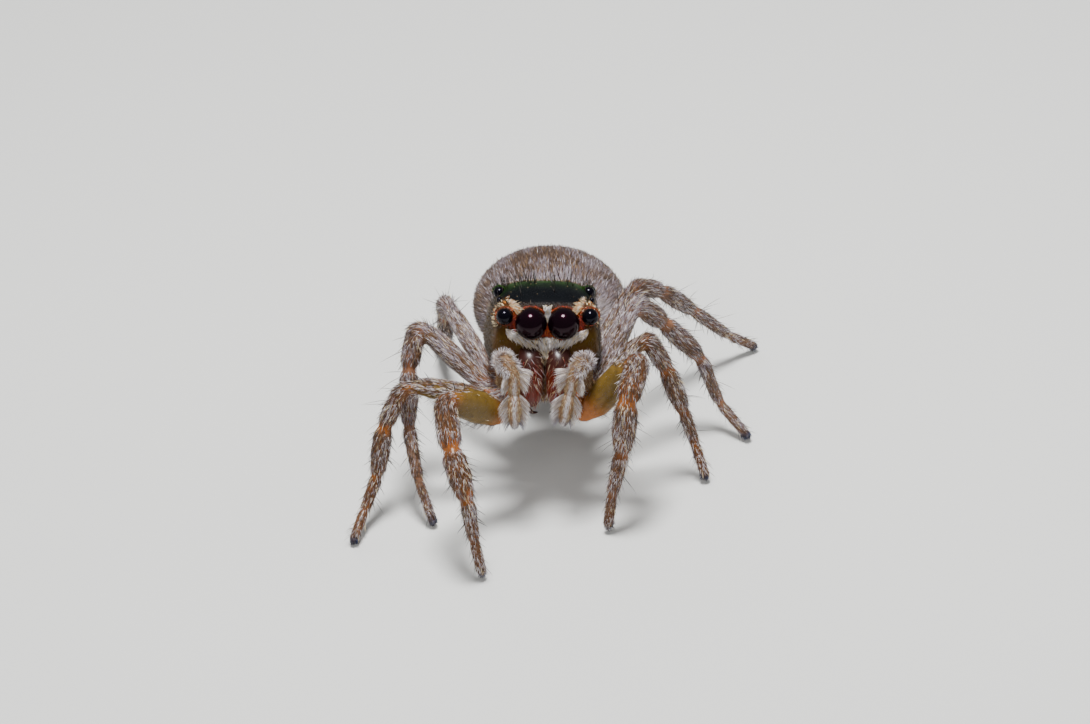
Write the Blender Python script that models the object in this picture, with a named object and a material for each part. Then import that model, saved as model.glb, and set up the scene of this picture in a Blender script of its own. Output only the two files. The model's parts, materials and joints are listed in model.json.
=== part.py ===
"""Life-size jumping spider as a museum model, standing on its eight feet.

The spider faces -Y, +X is its own left and +Z is up.  The script measures in
millimetres and hands the finished meshes over in metres.  The front half of
the body has its own directions (side, forward, up), measured from the point
midway between the two large front eyes.
"""
import math

import bmesh
import bpy
from mathutils import Matrix, Vector

MM = 0.001                      # metres in one millimetre
GAP = 0.03                      # thin cut between neighbouring pieces

# Where the front of the body is and how it is held.
EYE_LINE = Vector((0.02, -2.18, 4.95))
HEAD_TURN = 2.7                 # degrees toward the spider's left
HEAD_LIFT = 18.7                # degrees nose up
HEAD_LEAN = 7.7                 # degrees over toward the spider's left

# Front body shield.
SHIELD_WIDTH = 2.9
SHIELD_LENGTH = 3.6
SHIELD_TOP = 0.80               # highest point above the eye line
SHIELD_FOOT = 1.46              # lower margin below the eye line

# Hind body.
HIND_WIDTH = 4.1
HIND_LENGTH = 4.5
HIND_HEIGHT = 3.1
HIND_CENTRE = Vector((0.13, 3.41, 2.10))
HIND_LEAN = 7.0                 # degrees over toward the spider's left
HIND_SLOPE = 0.16               # fall from front to rear, per length
HIND_END = 8.0                  # degrees of the egg's arc left off at each end

# Eyes: distance to the side, forward, up, and radius.
EYES = {
    "eye_front_middle": (0.410, -0.10, -0.02, 0.385),
    "eye_front_side": (1.075, -0.10, 0.160, 0.196),
    "eye_small": (1.165, -0.90, 0.415, 0.075),
    "eye_rear": (1.130, -1.42, 0.500, 0.160),
}
SOCKET_GAP = 0.012

# Where each pair of legs leaves the body: side, forward, up.
HIPS = {
    1: (1.00, -0.12, -2.42),
    2: (1.22, -0.95, -2.15),
    3: (1.32, -1.75, -2.10),
    4: (1.16, -2.55, -2.02),
}
# A coxa starts beside the sternum: this far to the side and below the eye
# line, and for each pair this far ahead of its hip.
COXA_ROOT_SIDE = 0.70
COXA_ROOT_UP = -1.92
COXA_ROOT_AHEAD = {1: -0.50, 2: -0.30, 3: -0.11, 4: 0.08}

# Lengths of thigh, patella, tibia, metatarsus and tarsus.
LEG_LENGTHS = {
    1: (2.23, 1.36, 1.35, 1.14, 1.00),
    2: (2.33, 1.19, 1.34, 0.93, 0.94),
    3: (2.50, 1.15, 1.49, 1.40, 1.19),
    4: (2.78, 1.15, 1.53, 1.58, 1.02),
}

# Depths of coxa, thigh, knee, tibia, metatarsus and tarsus, hair included.
LEG_DEPTHS = {
    1: (0.60, 0.94, 0.68, 0.68, 0.50, 0.46),
    2: (0.56, 0.68, 0.52, 0.54, 0.46, 0.44),
    3: (0.56, 0.66, 0.56, 0.56, 0.46, 0.44),
    4: (0.56, 0.64, 0.52, 0.50, 0.45, 0.44),
}
THIGH_FLATNESS = {1: 0.72, 2: 0.85, 3: 0.85, 4: 0.85}

# Pose of each leg, in degrees: the thigh's heading and the shin's heading,
# both from straight ahead toward the leg's own side, the change of heading at
# each later joint, and the rises of thigh, patella, tibia and metatarsus.
LEG_POSES = {
    (1, "right"): (57, -2, -14, (39, -46, -43, -84)),
    (1, "left"): (91, -23, -20, (47, -28, -75, -70)),
    (2, "right"): (97, 55, -10, (14, -50, -70, -42)),
    (2, "left"): (87, 104, -26, (50, -67, -75, -74)),
    (3, "right"): (121, 28, -17, (40, -50, -56, -44)),
    (3, "left"): (122, 118, -25, (53, -49, -53, -74)),
    (4, "right"): (155, 176, -2, (24, -46, -58, -36)),
    (4, "left"): (140, 132, -5, (35, -30, -47, -49)),
}
SOLE_HEIGHT = 0.15              # centre of a foot's tip above the floor
ROUND_REACH = 0.30              # share of a segment that a rounded joint may use

# Feelers (palps): root, knee, wrist and tip as side, forward, up.
PALP_JOINTS = {
    "right": ((1.06, -0.20, -1.62), (1.14, 0.32, -0.82), (0.87, 0.72, -1.18), (0.83, 0.62, -2.50)),
    "left": ((1.00, -0.20, -1.62), (0.93, 0.36, -0.86), (0.60, 0.74, -1.20), (0.38, 0.62, -2.43)),
}
JAW_SHIFT = -0.05               # the jaws hang a little to the spider's right

RING_SIDES = 10

SIDES = {"left": 1.0, "right": -1.0}

COLOURS = {
    "shield": ((0.030, 0.022, 0.010), 0.28),
    "underside": ((0.130, 0.075, 0.030), 0.50),
    "eye": ((0.006, 0.004, 0.005), 0.04),
    "jaw": ((0.170, 0.028, 0.010), 0.18),
    "fang": ((0.030, 0.008, 0.004), 0.15),
    "palp": ((0.520, 0.400, 0.290), 0.65),
    "thigh": ((0.300, 0.190, 0.090), 0.50),
    "leg": ((0.380, 0.260, 0.180), 0.65),
    "hind": ((0.420, 0.360, 0.330), 0.75),
}


def body_directions():
    """Rotation from (side, back, up) of the front body to the world."""
    turn = Matrix.Rotation(math.radians(HEAD_TURN), 3, "Z")
    lift = Matrix.Rotation(math.radians(-HEAD_LIFT), 3, "X")
    lean = Matrix.Rotation(math.radians(HEAD_LEAN), 3, "Y")
    return turn @ lift @ lean


BODY = body_directions()


def body_point(side, forward, up):
    """World place of a point given in the front body's own directions."""
    return EYE_LINE + BODY @ Vector((side, -forward, up))


def clear_scene():
    """Take every object out of the open file."""
    for obj in list(bpy.data.objects):
        bpy.data.objects.remove(obj, do_unlink=True)


def collection(name):
    """New collection linked to the scene."""
    group = bpy.data.collections.new(name)
    bpy.context.scene.collection.children.link(group)
    return group


def material(name):
    """Principled material from the colour list."""
    colour, roughness = COLOURS[name]
    mat = bpy.data.materials.new(name)
    mat.use_nodes = True
    shader = mat.node_tree.nodes["Principled BSDF"]
    shader.inputs["Base Color"].default_value = (*colour, 1.0)
    shader.inputs["Roughness"].default_value = roughness
    shader.inputs["Metallic"].default_value = 0.0
    return mat


def add_object(name, mesh, looks, group):
    """Object with its material, in its collection."""
    obj = bpy.data.objects.new(name, mesh)
    mesh.materials.append(material(looks))
    group.objects.link(obj)
    return obj


def loft(rings, name):
    """Closed mesh through rings of equal counts, with flat ends."""
    shape = bmesh.new()
    loops = [[shape.verts.new(point) for point in ring] for ring in rings]
    count = len(loops[0])
    for near, far in zip(loops, loops[1:]):
        for i in range(count):
            j = (i + 1) % count
            shape.faces.new((near[i], near[j], far[j], far[i]))
    shape.faces.new(reversed(loops[0]))
    shape.faces.new(loops[-1])
    bmesh.ops.recalc_face_normals(shape, faces=shape.faces)
    mesh = bpy.data.meshes.new(name)
    shape.to_mesh(mesh)
    shape.free()
    mesh.shade_smooth()
    return mesh


def to_metres(obj):
    """Write the evaluated mesh back in metres, with its modifiers applied."""
    graph = bpy.context.evaluated_depsgraph_get()
    mesh = bpy.data.meshes.new_from_object(obj.evaluated_get(graph))
    obj.modifiers.clear()
    obj.data = mesh
    mesh.transform(Matrix.Scale(MM, 4) @ obj.matrix_world)
    obj.matrix_world = Matrix.Identity(4)
    mesh.set_sharp_from_angle(angle=math.radians(50))


# ---------------------------------------------------------------- swept limbs

class Station:
    """One ring's place on a limb: centre, direction, back of the limb, bend."""

    def __init__(self, centre, along, back, inward=None, room=None):
        self.centre = centre
        self.along = along
        self.back = back
        self.inward = inward
        self.room = room


def rounded_joint(before, joint, after, back, reach):
    """Arc of stations round one joint, from its start to its end."""
    incoming = (joint - before).normalized()
    outgoing = (after - joint).normalized()
    half = max(incoming.angle(outgoing) / 2, 0.01)
    radius = reach / math.tan(half)
    inward = (outgoing - incoming).normalized()
    forward = (outgoing + incoming).normalized()
    middle = joint + inward * (reach / math.sin(half))
    steps = 2 if half > math.radians(30) else 1
    stations = []
    for k in range(-steps, steps + 1):
        turn = half * k / steps
        along = forward * math.cos(turn) + inward * math.sin(turn)
        toward = inward * math.cos(turn) - forward * math.sin(turn)
        turned = incoming.rotation_difference(along) @ back
        stations.append(Station(middle - toward * radius, along, turned, toward, radius))
    return stations


def ring(station, depth, width, shift=0.0):
    """Oval ring at a station, kept clear of the inner side of a tight bend."""
    across = station.along.cross(station.back)
    points = []
    for k in range(RING_SIDES):
        angle = 2 * math.pi * k / RING_SIDES
        offset = station.back * (math.cos(angle) * depth / 2)
        offset += across * (math.sin(angle) * width / 2)
        if station.inward is not None:
            excess = offset.dot(station.inward) - 0.85 * station.room
            if excess > 0:
                offset -= station.inward * excess
        points.append(station.centre + station.along * shift + offset)
    return points


def hold_apart(rings, before, knee, after, past_knee):
    """Keep the rings on their own side of the plane that halves a tight knee."""
    normal = ((knee - before).normalized() + (after - knee).normalized()).normalized()
    sign = 1 if past_knee else -1
    held = []
    for points in rings:
        moved = []
        for point in points:
            distance = sign * (point - knee).dot(normal)
            short = max(GAP / 2 - distance, 0)
            moved.append(point + normal * (sign * short))
        held.append(moved)
    return held


def limb(points, sizes, cuts, back):
    """Ring lists of the pieces of a limb that is cut at some of its joints.

    points: joints from root to tip.  sizes: (depth, width) at each joint and
    halfway along each segment, alternating.  cuts: indices of the joints where
    one piece ends and the next begins.
    """
    pieces = []
    rings = [ring(Station(points[0], (points[1] - points[0]).normalized(), back), *sizes[0])]
    last = len(points) - 1
    for i in range(last):
        start, end = points[i], points[i + 1]
        along = (end - start).normalized()
        middle = Station((start + end) / 2, along, back)
        rings.append(ring(middle, *sizes[2 * i + 1]))
        if i + 1 == last:
            rings += rounded_tip(end, along, back, sizes[-1])
            break
        shortest = min((end - start).length, (points[i + 2] - end).length)
        arc = rounded_joint(start, end, points[i + 2], back, ROUND_REACH * shortest)
        size = sizes[2 * i + 2]
        half = len(arc) // 2
        for station in arc[:half]:
            rings.append(ring(station, *size))
        if i + 1 in cuts:
            rings.append(ring(arc[half], *size, shift=-GAP / 2))
            pieces.append(rings)
            rings = [ring(arc[half], *size, shift=GAP / 2)]
        else:
            rings.append(ring(arc[half], *size))
        for station in arc[half + 1:]:
            rings.append(ring(station, *size))
        back = arc[-1].back
    pieces.append(rings)
    return pieces


def rounded_tip(end, along, back, size):
    """Rings that close a limb with a round end about its last point."""
    depth, width = size
    rings = []
    for degrees in (0, 52):
        angle = math.radians(degrees)
        station = Station(end + along * (math.sin(angle) * depth / 2), along, back)
        rings.append(ring(station, depth * math.cos(angle), width * math.cos(angle)))
    return rings


# ----------------------------------------------------------------------- legs

def direction(heading, rise, side):
    """Unit direction in the world from a heading and a rise in degrees."""
    turn = math.radians(heading)
    lift = math.radians(rise)
    flat = math.cos(lift)
    return Vector((side * math.sin(turn) * flat, -math.cos(turn) * flat, math.sin(lift)))


def leg_joints(pair, side_name):
    """Joints of one leg from the coxa's root to the tip of the foot."""
    side = SIDES[side_name]
    out, forward, up = HIPS[pair]
    ahead = forward + COXA_ROOT_AHEAD[pair]
    root = body_point(side * COXA_ROOT_SIDE, ahead, COXA_ROOT_UP)
    points = [root, body_point(side * out, forward, up)]
    thigh_heading, shin_heading, sweep, rises = LEG_POSES[(pair, side_name)]
    headings = [thigh_heading] + [shin_heading + sweep * k for k in range(4)]
    lengths = LEG_LENGTHS[pair]
    for heading, rise, length in zip(headings, rises, lengths):
        points.append(points[-1] + direction(heading, rise, side) * length)
    drop = points[-1].z - SOLE_HEIGHT
    last_rise = -math.degrees(math.asin(drop / lengths[-1]))
    points.append(points[-1] + direction(headings[-1], last_rise, side) * lengths[-1])
    return points


def leg_sizes(pair):
    """Depth and width at each joint and halfway along each segment."""
    coxa, thigh, knee, tibia, metatarsus, tarsus = LEG_DEPTHS[pair]
    depths = [coxa, coxa, 0.95 * coxa, thigh, knee, knee, 0.96 * knee, tibia,
              0.5 * (tibia + metatarsus), metatarsus, 0.98 * tarsus, tarsus, tarsus]
    widths = [0.95 * depth for depth in depths]
    widths[3] = THIGH_FLATNESS[pair] * thigh
    return list(zip(depths, widths))


def level_sole(mesh):
    """Cut a foot off flat at the floor."""
    shape = bmesh.new()
    shape.from_mesh(mesh)
    parts = shape.verts[:] + shape.edges[:] + shape.faces[:]
    bmesh.ops.bisect_plane(shape, geom=parts, plane_co=(0, 0, 0), plane_no=(0, 0, -1),
                           clear_outer=True)
    rim = [edge for edge in shape.edges if edge.is_boundary]
    bmesh.ops.contextual_create(shape, geom=rim)
    bmesh.ops.recalc_face_normals(shape, faces=shape.faces)
    shape.to_mesh(mesh)
    shape.free()


def add_leg(pair, side_name, group):
    """Thigh with coxa, patella, tibia and foot of one leg."""
    points = leg_joints(pair, side_name)
    first = (points[2] - points[1]).normalized()
    back = (Vector((0, 0, 1)) - first * first.z).normalized()
    coxa = (points[1] - points[0]).normalized()
    back = first.rotation_difference(coxa) @ back
    pieces = limb(points, leg_sizes(pair), (2, 3, 4), back)
    for rings, part in zip(pieces, ("thigh", "patella", "tibia", "foot")):
        name = f"leg_{pair}_{side_name}_{part}"
        if part in ("thigh", "patella"):
            rings = hold_apart(rings, *points[1:4], past_knee=part == "patella")
        mesh = loft(rings, name)
        if part == "foot":
            level_sole(mesh)
        looks = "thigh" if (part, pair) == ("thigh", 1) else "leg"
        add_object(name, mesh, looks, group)


def add_palp(side_name, group):
    """Feeler in front of the jaw: an upper piece and a plumed lower piece."""
    side = SIDES[side_name]
    points = [body_point(side * out, forward, up) for out, forward, up in PALP_JOINTS[side_name]]
    sizes = [(0.40, 0.40), (0.42, 0.42), (0.50, 0.50), (0.56, 0.56), (0.60, 0.64),
             (0.58, 0.84), (0.36, 0.44)]
    pieces = limb(points, sizes, (2,), BODY @ Vector((0, -1, 0)))
    for rings, part in zip(pieces, ("upper", "lower")):
        name = f"palp_{side_name}_{part}"
        add_object(name, loft(rings, name), "palp", group)


# ----------------------------------------------------------------------- body

def squarish_ring(forward, half_width, top, foot, squareness=3.6, taper=0.10, sides=28):
    """Rounded-square cross-section of the front body, narrower toward its top."""
    middle = (top + foot) / 2
    half_height = (top - foot) / 2
    points = []
    for k in range(sides):
        angle = 2 * math.pi * (k + 0.5) / sides
        c, s = math.cos(angle), math.sin(angle)
        across = math.copysign(abs(c) ** (2 / squareness), c)
        rise = math.copysign(abs(s) ** (2 / squareness), s)
        out = half_width * across * (1 - taper * rise)
        points.append(body_point(out, forward, middle + half_height * rise))
    return points


def shield_rings():
    """Sections of the front body shield from the face to the waist."""
    half = SHIELD_WIDTH / 2
    top = SHIELD_TOP
    foot = -SHIELD_FOOT
    sections = [
        (0.000, 0.66 * half, 0.50 * top, 0.42 * foot),
        (0.015, 0.79 * half, 0.60 * top, 0.46 * foot),
        (0.050, 0.87 * half, 0.71 * top, 0.60 * foot),
        (0.120, 0.92 * half, 0.82 * top, 0.86 * foot),
        (0.250, 0.96 * half, 0.94 * top, 0.98 * foot),
        (0.400, 0.99 * half, 1.00 * top, 1.00 * foot),
        (0.560, 1.00 * half, 0.92 * top, 1.00 * foot),
        (0.700, 0.96 * half, 0.60 * top, 0.98 * foot),
        (0.830, 0.84 * half, 0.04 * top, 0.95 * foot),
        (0.930, 0.62 * half, 0.34 * foot, 0.90 * foot),
        (1.000, 0.30 * half, 0.56 * foot, 0.80 * foot),
    ]
    return [squarish_ring(-SHIELD_LENGTH * share, wide, high, low) for share, wide, high, low in sections]


def add_ball(name, centre, radius, looks, group, detail_radius=None):
    """Sphere from the sphere primitive, facing along the body, finer when larger."""
    size = detail_radius or radius
    segments, rings = (16, 9) if size > 0.3 else (12, 7) if size > 0.1 else (8, 5)
    shape = bmesh.new()
    place = Matrix.Translation(centre) @ BODY.to_4x4() @ Matrix.Rotation(math.pi / 2, 4, "X")
    bmesh.ops.create_uvsphere(shape, u_segments=segments, v_segments=rings, radius=radius, matrix=place)
    mesh = bpy.data.meshes.new(name)
    shape.to_mesh(mesh)
    shape.free()
    mesh.shade_smooth()
    return add_object(name, mesh, looks, group)


def add_eyes(group):
    """Eight eyes: four facing forward in a row, two tiny and two at the rear."""
    for name, (out, forward, up, radius) in EYES.items():
        for side_name, side in SIDES.items():
            centre = body_point(side * out, forward, up)
            add_ball(f"{name}_{side_name}", centre, radius, "eye", group)


def add_shield(group, cutters):
    """Front body shield with a round socket for each eye."""
    shield = add_object("front_body_shield", loft(shield_rings(), "shield"), "shield", group)
    for name, (out, forward, up, radius) in EYES.items():
        for side_name, side in SIDES.items():
            centre = body_point(side * out, forward, up)
            cutter = add_ball(f"socket_{name}_{side_name}", centre, radius + SOCKET_GAP, "shield", cutters,
                              detail_radius=radius)
            cutter.hide_render = True
            cutter.display_type = "WIRE"
            cut = shield.modifiers.new("socket", "BOOLEAN")
            cut.operation = "DIFFERENCE"
            cut.object = cutter
            cut.solver = "EXACT"
    weld = shield.modifiers.new("weld", "WELD")
    weld.merge_threshold = 0.0001


def oval_rings(path, sides, across, upward):
    """Rings along a path of (centre, half width, half height)."""
    rings = []
    for centre, half_width, half_height in path:
        points = []
        for k in range(sides):
            angle = 2 * math.pi * k / sides
            offset = across * (math.cos(angle) * half_width)
            offset += upward * (math.sin(angle) * half_height)
            points.append(centre + offset)
        rings.append(points)
    return rings


def add_sternum(group):
    """Underside between the legs: a narrow shield-shaped block."""
    top = -SHIELD_FOOT - GAP
    sections = [(-0.62, 0.16, 0.40), (-0.74, 0.30, 0.62), (-1.10, 0.38, 0.78), (-1.80, 0.40, 0.80),
                (-2.50, 0.34, 0.68), (-2.95, 0.22, 0.46), (-3.10, 0.12, 0.28)]
    rings = [squarish_ring(forward, wide, top, top - deep, 2.4, 0.0, 16)
             for forward, wide, deep in sections]
    add_object("sternum", loft(rings, "sternum"), "underside", group)


def add_mouth(group):
    """Mouthparts behind the jaws, under the face."""
    top = -SHIELD_FOOT - GAP
    sections = [(-0.26, 0.18, 0.36), (-0.32, 0.32, 0.60), (-0.46, 0.36, 0.70), (-0.58, 0.26, 0.54)]
    rings = [squarish_ring(forward, wide, top - 0.04, top - deep, 2.4, 0.0, 12)
             for forward, wide, deep in sections]
    add_object("mouthparts", loft(rings, "mouthparts"), "underside", group)


def add_jaw(side_name, group):
    """Jaw (chelicera) below the face, with its fang folded in at the end."""
    side = SIDES[side_name]
    across = BODY @ Vector((1, 0, 0))
    outward = BODY @ Vector((0, -1, 0.25)).normalized()
    top = -0.46 * SHIELD_FOOT
    # Sections: height, distance to the side, forward, half width, half depth.
    sections = [
        (top - 0.02, 0.35, 0.02, 0.20, 0.10),
        (top - 0.10, 0.36, 0.04, 0.31, 0.18),
        (top - 0.35, 0.365, 0.07, 0.345, 0.26),
        (top - 0.75, 0.365, 0.07, 0.345, 0.29),
        (top - 1.10, 0.36, 0.03, 0.32, 0.28),
        (top - 1.36, 0.35, -0.02, 0.26, 0.23),
        (top - 1.47, 0.35, -0.05, 0.14, 0.13),
    ]
    path = [(body_point(side * out + JAW_SHIFT, forward, up), wide, deep)
            for up, out, forward, wide, deep in sections]
    name = f"jaw_{side_name}"
    add_object(name, loft(oval_rings(path, 14, across, outward), name), "jaw", group)
    root = body_point(side * 0.45 + JAW_SHIFT, -0.05, top - 1.55)
    bend = body_point(side * 0.34 + JAW_SHIFT, -0.08, top - 1.67)
    tip = body_point(side * 0.15 + JAW_SHIFT, -0.14, top - 1.64)
    sizes = [(0.15, 0.15), (0.14, 0.14), (0.12, 0.12), (0.10, 0.10), (0.06, 0.06)]
    rings = limb([root, bend, tip], sizes, (), BODY @ Vector((0, 1, 0)))[0]
    name = f"fang_{side_name}"
    add_object(name, loft(rings, name), "fang", group)


def hind_directions():
    """Rotation of the hind body: level, leaning a little to one side."""
    return Matrix.Rotation(math.radians(HIND_LEAN), 3, "Y")


def hind_section(share):
    """Centre, half width and half height of the hind body, share -1 front to 1 rear."""
    fall = HIND_SLOPE * share * HIND_LENGTH / 2
    centre = HIND_CENTRE + Vector((0, share * HIND_LENGTH / 2, -fall))
    swell = (1 - share * share) ** 0.44 * (1 + 0.06 * share)
    return centre, swell * HIND_WIDTH / 2, swell * HIND_HEIGHT / 2


def add_hind_body(group):
    """Egg-shaped hind body, a little fuller behind its middle, with its spinnerets."""
    turn = Matrix.Rotation(math.radians(HIND_LEAN), 3, "Y")
    across = turn @ Vector((1, 0, 0))
    upward = turn @ Vector((0, 0, 1))
    path = []
    steps = 13
    for k in range(steps + 1):
        angle = math.radians(HIND_END + (180 - 2 * HIND_END) * k / steps)
        path.append(hind_section(-math.cos(angle)))
    add_object("hind_body", loft(oval_rings(path, 24, across, upward), "hind_body"), "hind", group)
    start = path[-1][0] + Vector((0, GAP, -0.10))
    cluster = []
    for back, size in ((0.0, 0.26), (0.12, 0.30), (0.28, 0.27), (0.40, 0.20), (0.46, 0.10)):
        cluster.append((start + Vector((0, back, -0.35 * back)), size, 0.8 * size))
    add_object("spinnerets", loft(oval_rings(cluster, 12, across, upward), "spinnerets"), "hind", group)


def add_waist(group):
    """Narrow waist between the front body and the hind body."""
    front = body_point(0, -SHIELD_LENGTH - GAP, -0.70 * SHIELD_FOOT)
    back = hind_section(-math.cos(math.radians(HIND_END)))[0] - Vector((0, GAP, 0))
    side, upward = BODY @ Vector((1, 0, 0)), BODY @ Vector((0, 0, 1))
    rings = []
    for share, size in ((0.0, 0.16), (0.3, 0.19), (0.7, 0.19), (1.0, 0.16)):
        across = side.lerp(Vector((1, 0, 0)), share).normalized()
        rise = upward.lerp(Vector((0, 0, 1)), share).normalized()
        rings += oval_rings([(front.lerp(back, share), 1.3 * size, size)], 12, across, rise)
    add_object("waist", loft(rings, "waist"), "underside", group)


def build():
    """Model the whole spider."""
    clear_scene()
    spider = collection("jumping_spider")
    cutters = collection("cutters")
    add_shield(spider, cutters)
    add_eyes(spider)
    add_sternum(spider)
    add_mouth(spider)
    add_waist(spider)
    add_hind_body(spider)
    for side_name in SIDES:
        add_jaw(side_name, spider)
        add_palp(side_name, spider)
        for pair in HIPS:
            add_leg(pair, side_name, spider)
    bpy.context.view_layer.update()
    for obj in spider.objects:
        to_metres(obj)
    for obj in list(cutters.objects):
        bpy.data.objects.remove(obj, do_unlink=True)


build()
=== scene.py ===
"""Finish of the life-size jumping spider: skin, coat, eyes, jaws, floor, lights and camera.

Everything is worked out in millimetres in the part's own frame and handed
over in metres.  The front body has its own directions (side, forward, up),
measured from the point midway between the two large front eyes.
"""

import json
import math

import bmesh
import bpy
import numpy as np
from mathutils import Matrix, Vector
from mathutils.bvhtree import BVHTree
from mathutils.kdtree import KDTree

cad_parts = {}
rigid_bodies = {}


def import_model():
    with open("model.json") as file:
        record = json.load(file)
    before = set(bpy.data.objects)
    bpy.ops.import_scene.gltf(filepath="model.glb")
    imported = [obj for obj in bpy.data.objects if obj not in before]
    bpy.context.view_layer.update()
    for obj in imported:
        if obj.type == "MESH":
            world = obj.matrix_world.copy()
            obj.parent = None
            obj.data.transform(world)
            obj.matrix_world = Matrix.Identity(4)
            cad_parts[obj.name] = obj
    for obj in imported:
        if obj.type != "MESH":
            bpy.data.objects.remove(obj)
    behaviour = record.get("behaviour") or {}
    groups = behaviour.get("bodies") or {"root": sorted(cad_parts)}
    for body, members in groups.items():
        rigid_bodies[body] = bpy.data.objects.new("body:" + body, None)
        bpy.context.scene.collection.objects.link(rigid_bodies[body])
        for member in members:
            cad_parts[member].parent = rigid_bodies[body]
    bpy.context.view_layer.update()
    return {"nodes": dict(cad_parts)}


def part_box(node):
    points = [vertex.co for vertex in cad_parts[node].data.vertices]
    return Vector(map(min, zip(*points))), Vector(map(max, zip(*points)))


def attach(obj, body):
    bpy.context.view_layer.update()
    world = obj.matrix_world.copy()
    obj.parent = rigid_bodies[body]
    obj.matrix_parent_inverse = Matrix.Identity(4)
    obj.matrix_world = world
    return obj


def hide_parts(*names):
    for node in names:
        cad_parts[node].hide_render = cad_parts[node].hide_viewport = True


for leftover in list(bpy.data.objects):
    bpy.data.objects.remove(leftover, do_unlink=True)

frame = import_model()

MM = 0.001
SIDES = {"left": 1.0, "right": -1.0}

# ------------------------------------------------------------------ the pose

HEAD_TURN = 2.7                 # degrees toward the spider's left
HEAD_LIFT = 18.7                # degrees nose up
HEAD_LEAN = 7.7                 # degrees over toward the spider's left
EYES = {                        # to the side, forward, up, radius
    "eye_front_middle": (0.410, -0.10, -0.02, 0.400),
    "eye_front_side": (1.075, -0.10, 0.160, 0.208),
    "eye_small": (1.165, -0.90, 0.415, 0.075),
    "eye_rear": (1.130, -1.42, 0.500, 0.160),
}
SHIELD_WIDTH = 2.9
SHIELD_LENGTH = 3.6
SHIELD_TOP = 0.80
SHIELD_FOOT = 1.46
HIND_WIDTH = 4.1
HIND_LENGTH = 4.5
HIND_HEIGHT = 3.1
HIND_CENTRE = Vector((0.13, 3.41, 2.10))
HIND_LEAN = 7.0
HIND_SLOPE = 0.16
HIPS = {
    1: (1.00, -0.12, -2.42),
    2: (1.22, -0.95, -2.15),
    3: (1.32, -1.75, -2.10),
    4: (1.16, -2.55, -2.02),
}
COXA_ROOT_SIDE = 0.70
COXA_ROOT_UP = -1.92
COXA_ROOT_AHEAD = {1: -0.50, 2: -0.30, 3: -0.11, 4: 0.08}
LEG_LENGTHS = {
    1: (2.23, 1.36, 1.35, 1.14, 1.00),
    2: (2.33, 1.19, 1.34, 0.93, 0.94),
    3: (2.50, 1.15, 1.49, 1.40, 1.19),
    4: (2.78, 1.15, 1.53, 1.58, 1.02),
}
# Headings of thigh and shin from straight ahead, change of heading at each
# later joint, and rises of thigh, patella, tibia and metatarsus, in degrees.
LEG_POSES = {
    (1, "right"): (57, -2, -14, (39, -46, -43, -84)),
    (1, "left"): (91, -23, -20, (47, -28, -75, -70)),
    (2, "right"): (97, 55, -10, (14, -50, -70, -42)),
    (2, "left"): (87, 104, -26, (50, -67, -75, -74)),
    (3, "right"): (121, 28, -17, (40, -50, -56, -44)),
    (3, "left"): (122, 118, -25, (53, -49, -53, -74)),
    (4, "right"): (155, 176, -2, (24, -46, -58, -36)),
    (4, "left"): (140, 132, -5, (35, -30, -47, -49)),
}
SOLE_HEIGHT = 0.15
PALP_JOINTS = {
    "right": ((1.06, -0.20, -1.62), (1.14, 0.32, -0.82), (0.87, 0.72, -1.18), (0.83, 0.62, -2.50)),
    "left": ((1.00, -0.20, -1.62), (0.93, 0.36, -0.86), (0.60, 0.74, -1.20), (0.38, 0.62, -2.43)),
}
JAW_SHIFT = -0.05

# ------------------------------------------------------------- skin and coat

SKIN_CELL = 0.052               # size of the skin's faces
HIND_COAT = 0.12                # how far the skin lies inside each solid
SHIELD_COAT = 0.035
FACE_COAT = 0.14
UNDER_COAT = 0.04
# Skin depths of coxa, thigh, knee, patella, tibia, metatarsus and tarsus.
SKIN_DEPTHS = {
    1: (0.50, 0.86, 0.56, 0.60, 0.60, 0.36, 0.27),
    2: (0.46, 0.58, 0.40, 0.43, 0.46, 0.29, 0.25),
    3: (0.46, 0.58, 0.50, 0.50, 0.48, 0.32, 0.25),
    4: (0.46, 0.56, 0.44, 0.45, 0.43, 0.31, 0.25),
}
THIGH_FLATNESS = {1: 0.72, 2: 0.85, 3: 0.85, 4: 0.85}
PATCH = 0.003                   # size of a tuft on the coat's map
MAP_MARGIN = 0.01               # free border of a coat's map
MAP_SPAN = 0.975                # share of the map that the unwrap fills
LEG_SINK = 0.008                # how deep the roots of scales and hairs sit
BODY_SINK = 0.006
ROOT_SINK = 0.010
LOWEST_HAIR = 0.004             # no hair comes nearer to the floor
LEG_SCALES = {1: 16500, 2: 15000, 3: 15500, 4: 15500}
HIND_SCALES = 56000
FRONT_SCALES = 34000
UNDER_SCALES = 6000
CROWN_FOOT = 0.43               # lower edge of the black crown
CROWN_REAR = -1.72              # its rear edge
GREEN_AND_SHEEN_FROM = 1.36               # the crown is green farther back than this: green scales with a painted green sheen
FACE_REAR = -0.45               # rear edge of the face's own scales
# Bright rings on a leg: place along it, half width and strength.
LEG_RINGS = ((2.90, 0.14, 1.0), (3.93, 0.10, 1.0), (4.97, 0.06, 0.55), (2.05, 0.10, 0.5))
FOOT_DARK = 5.80                # a leg's skin is dark from here to its tip
PALP_GREY = 3.80                # a feeler is grey from here to its tip

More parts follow.
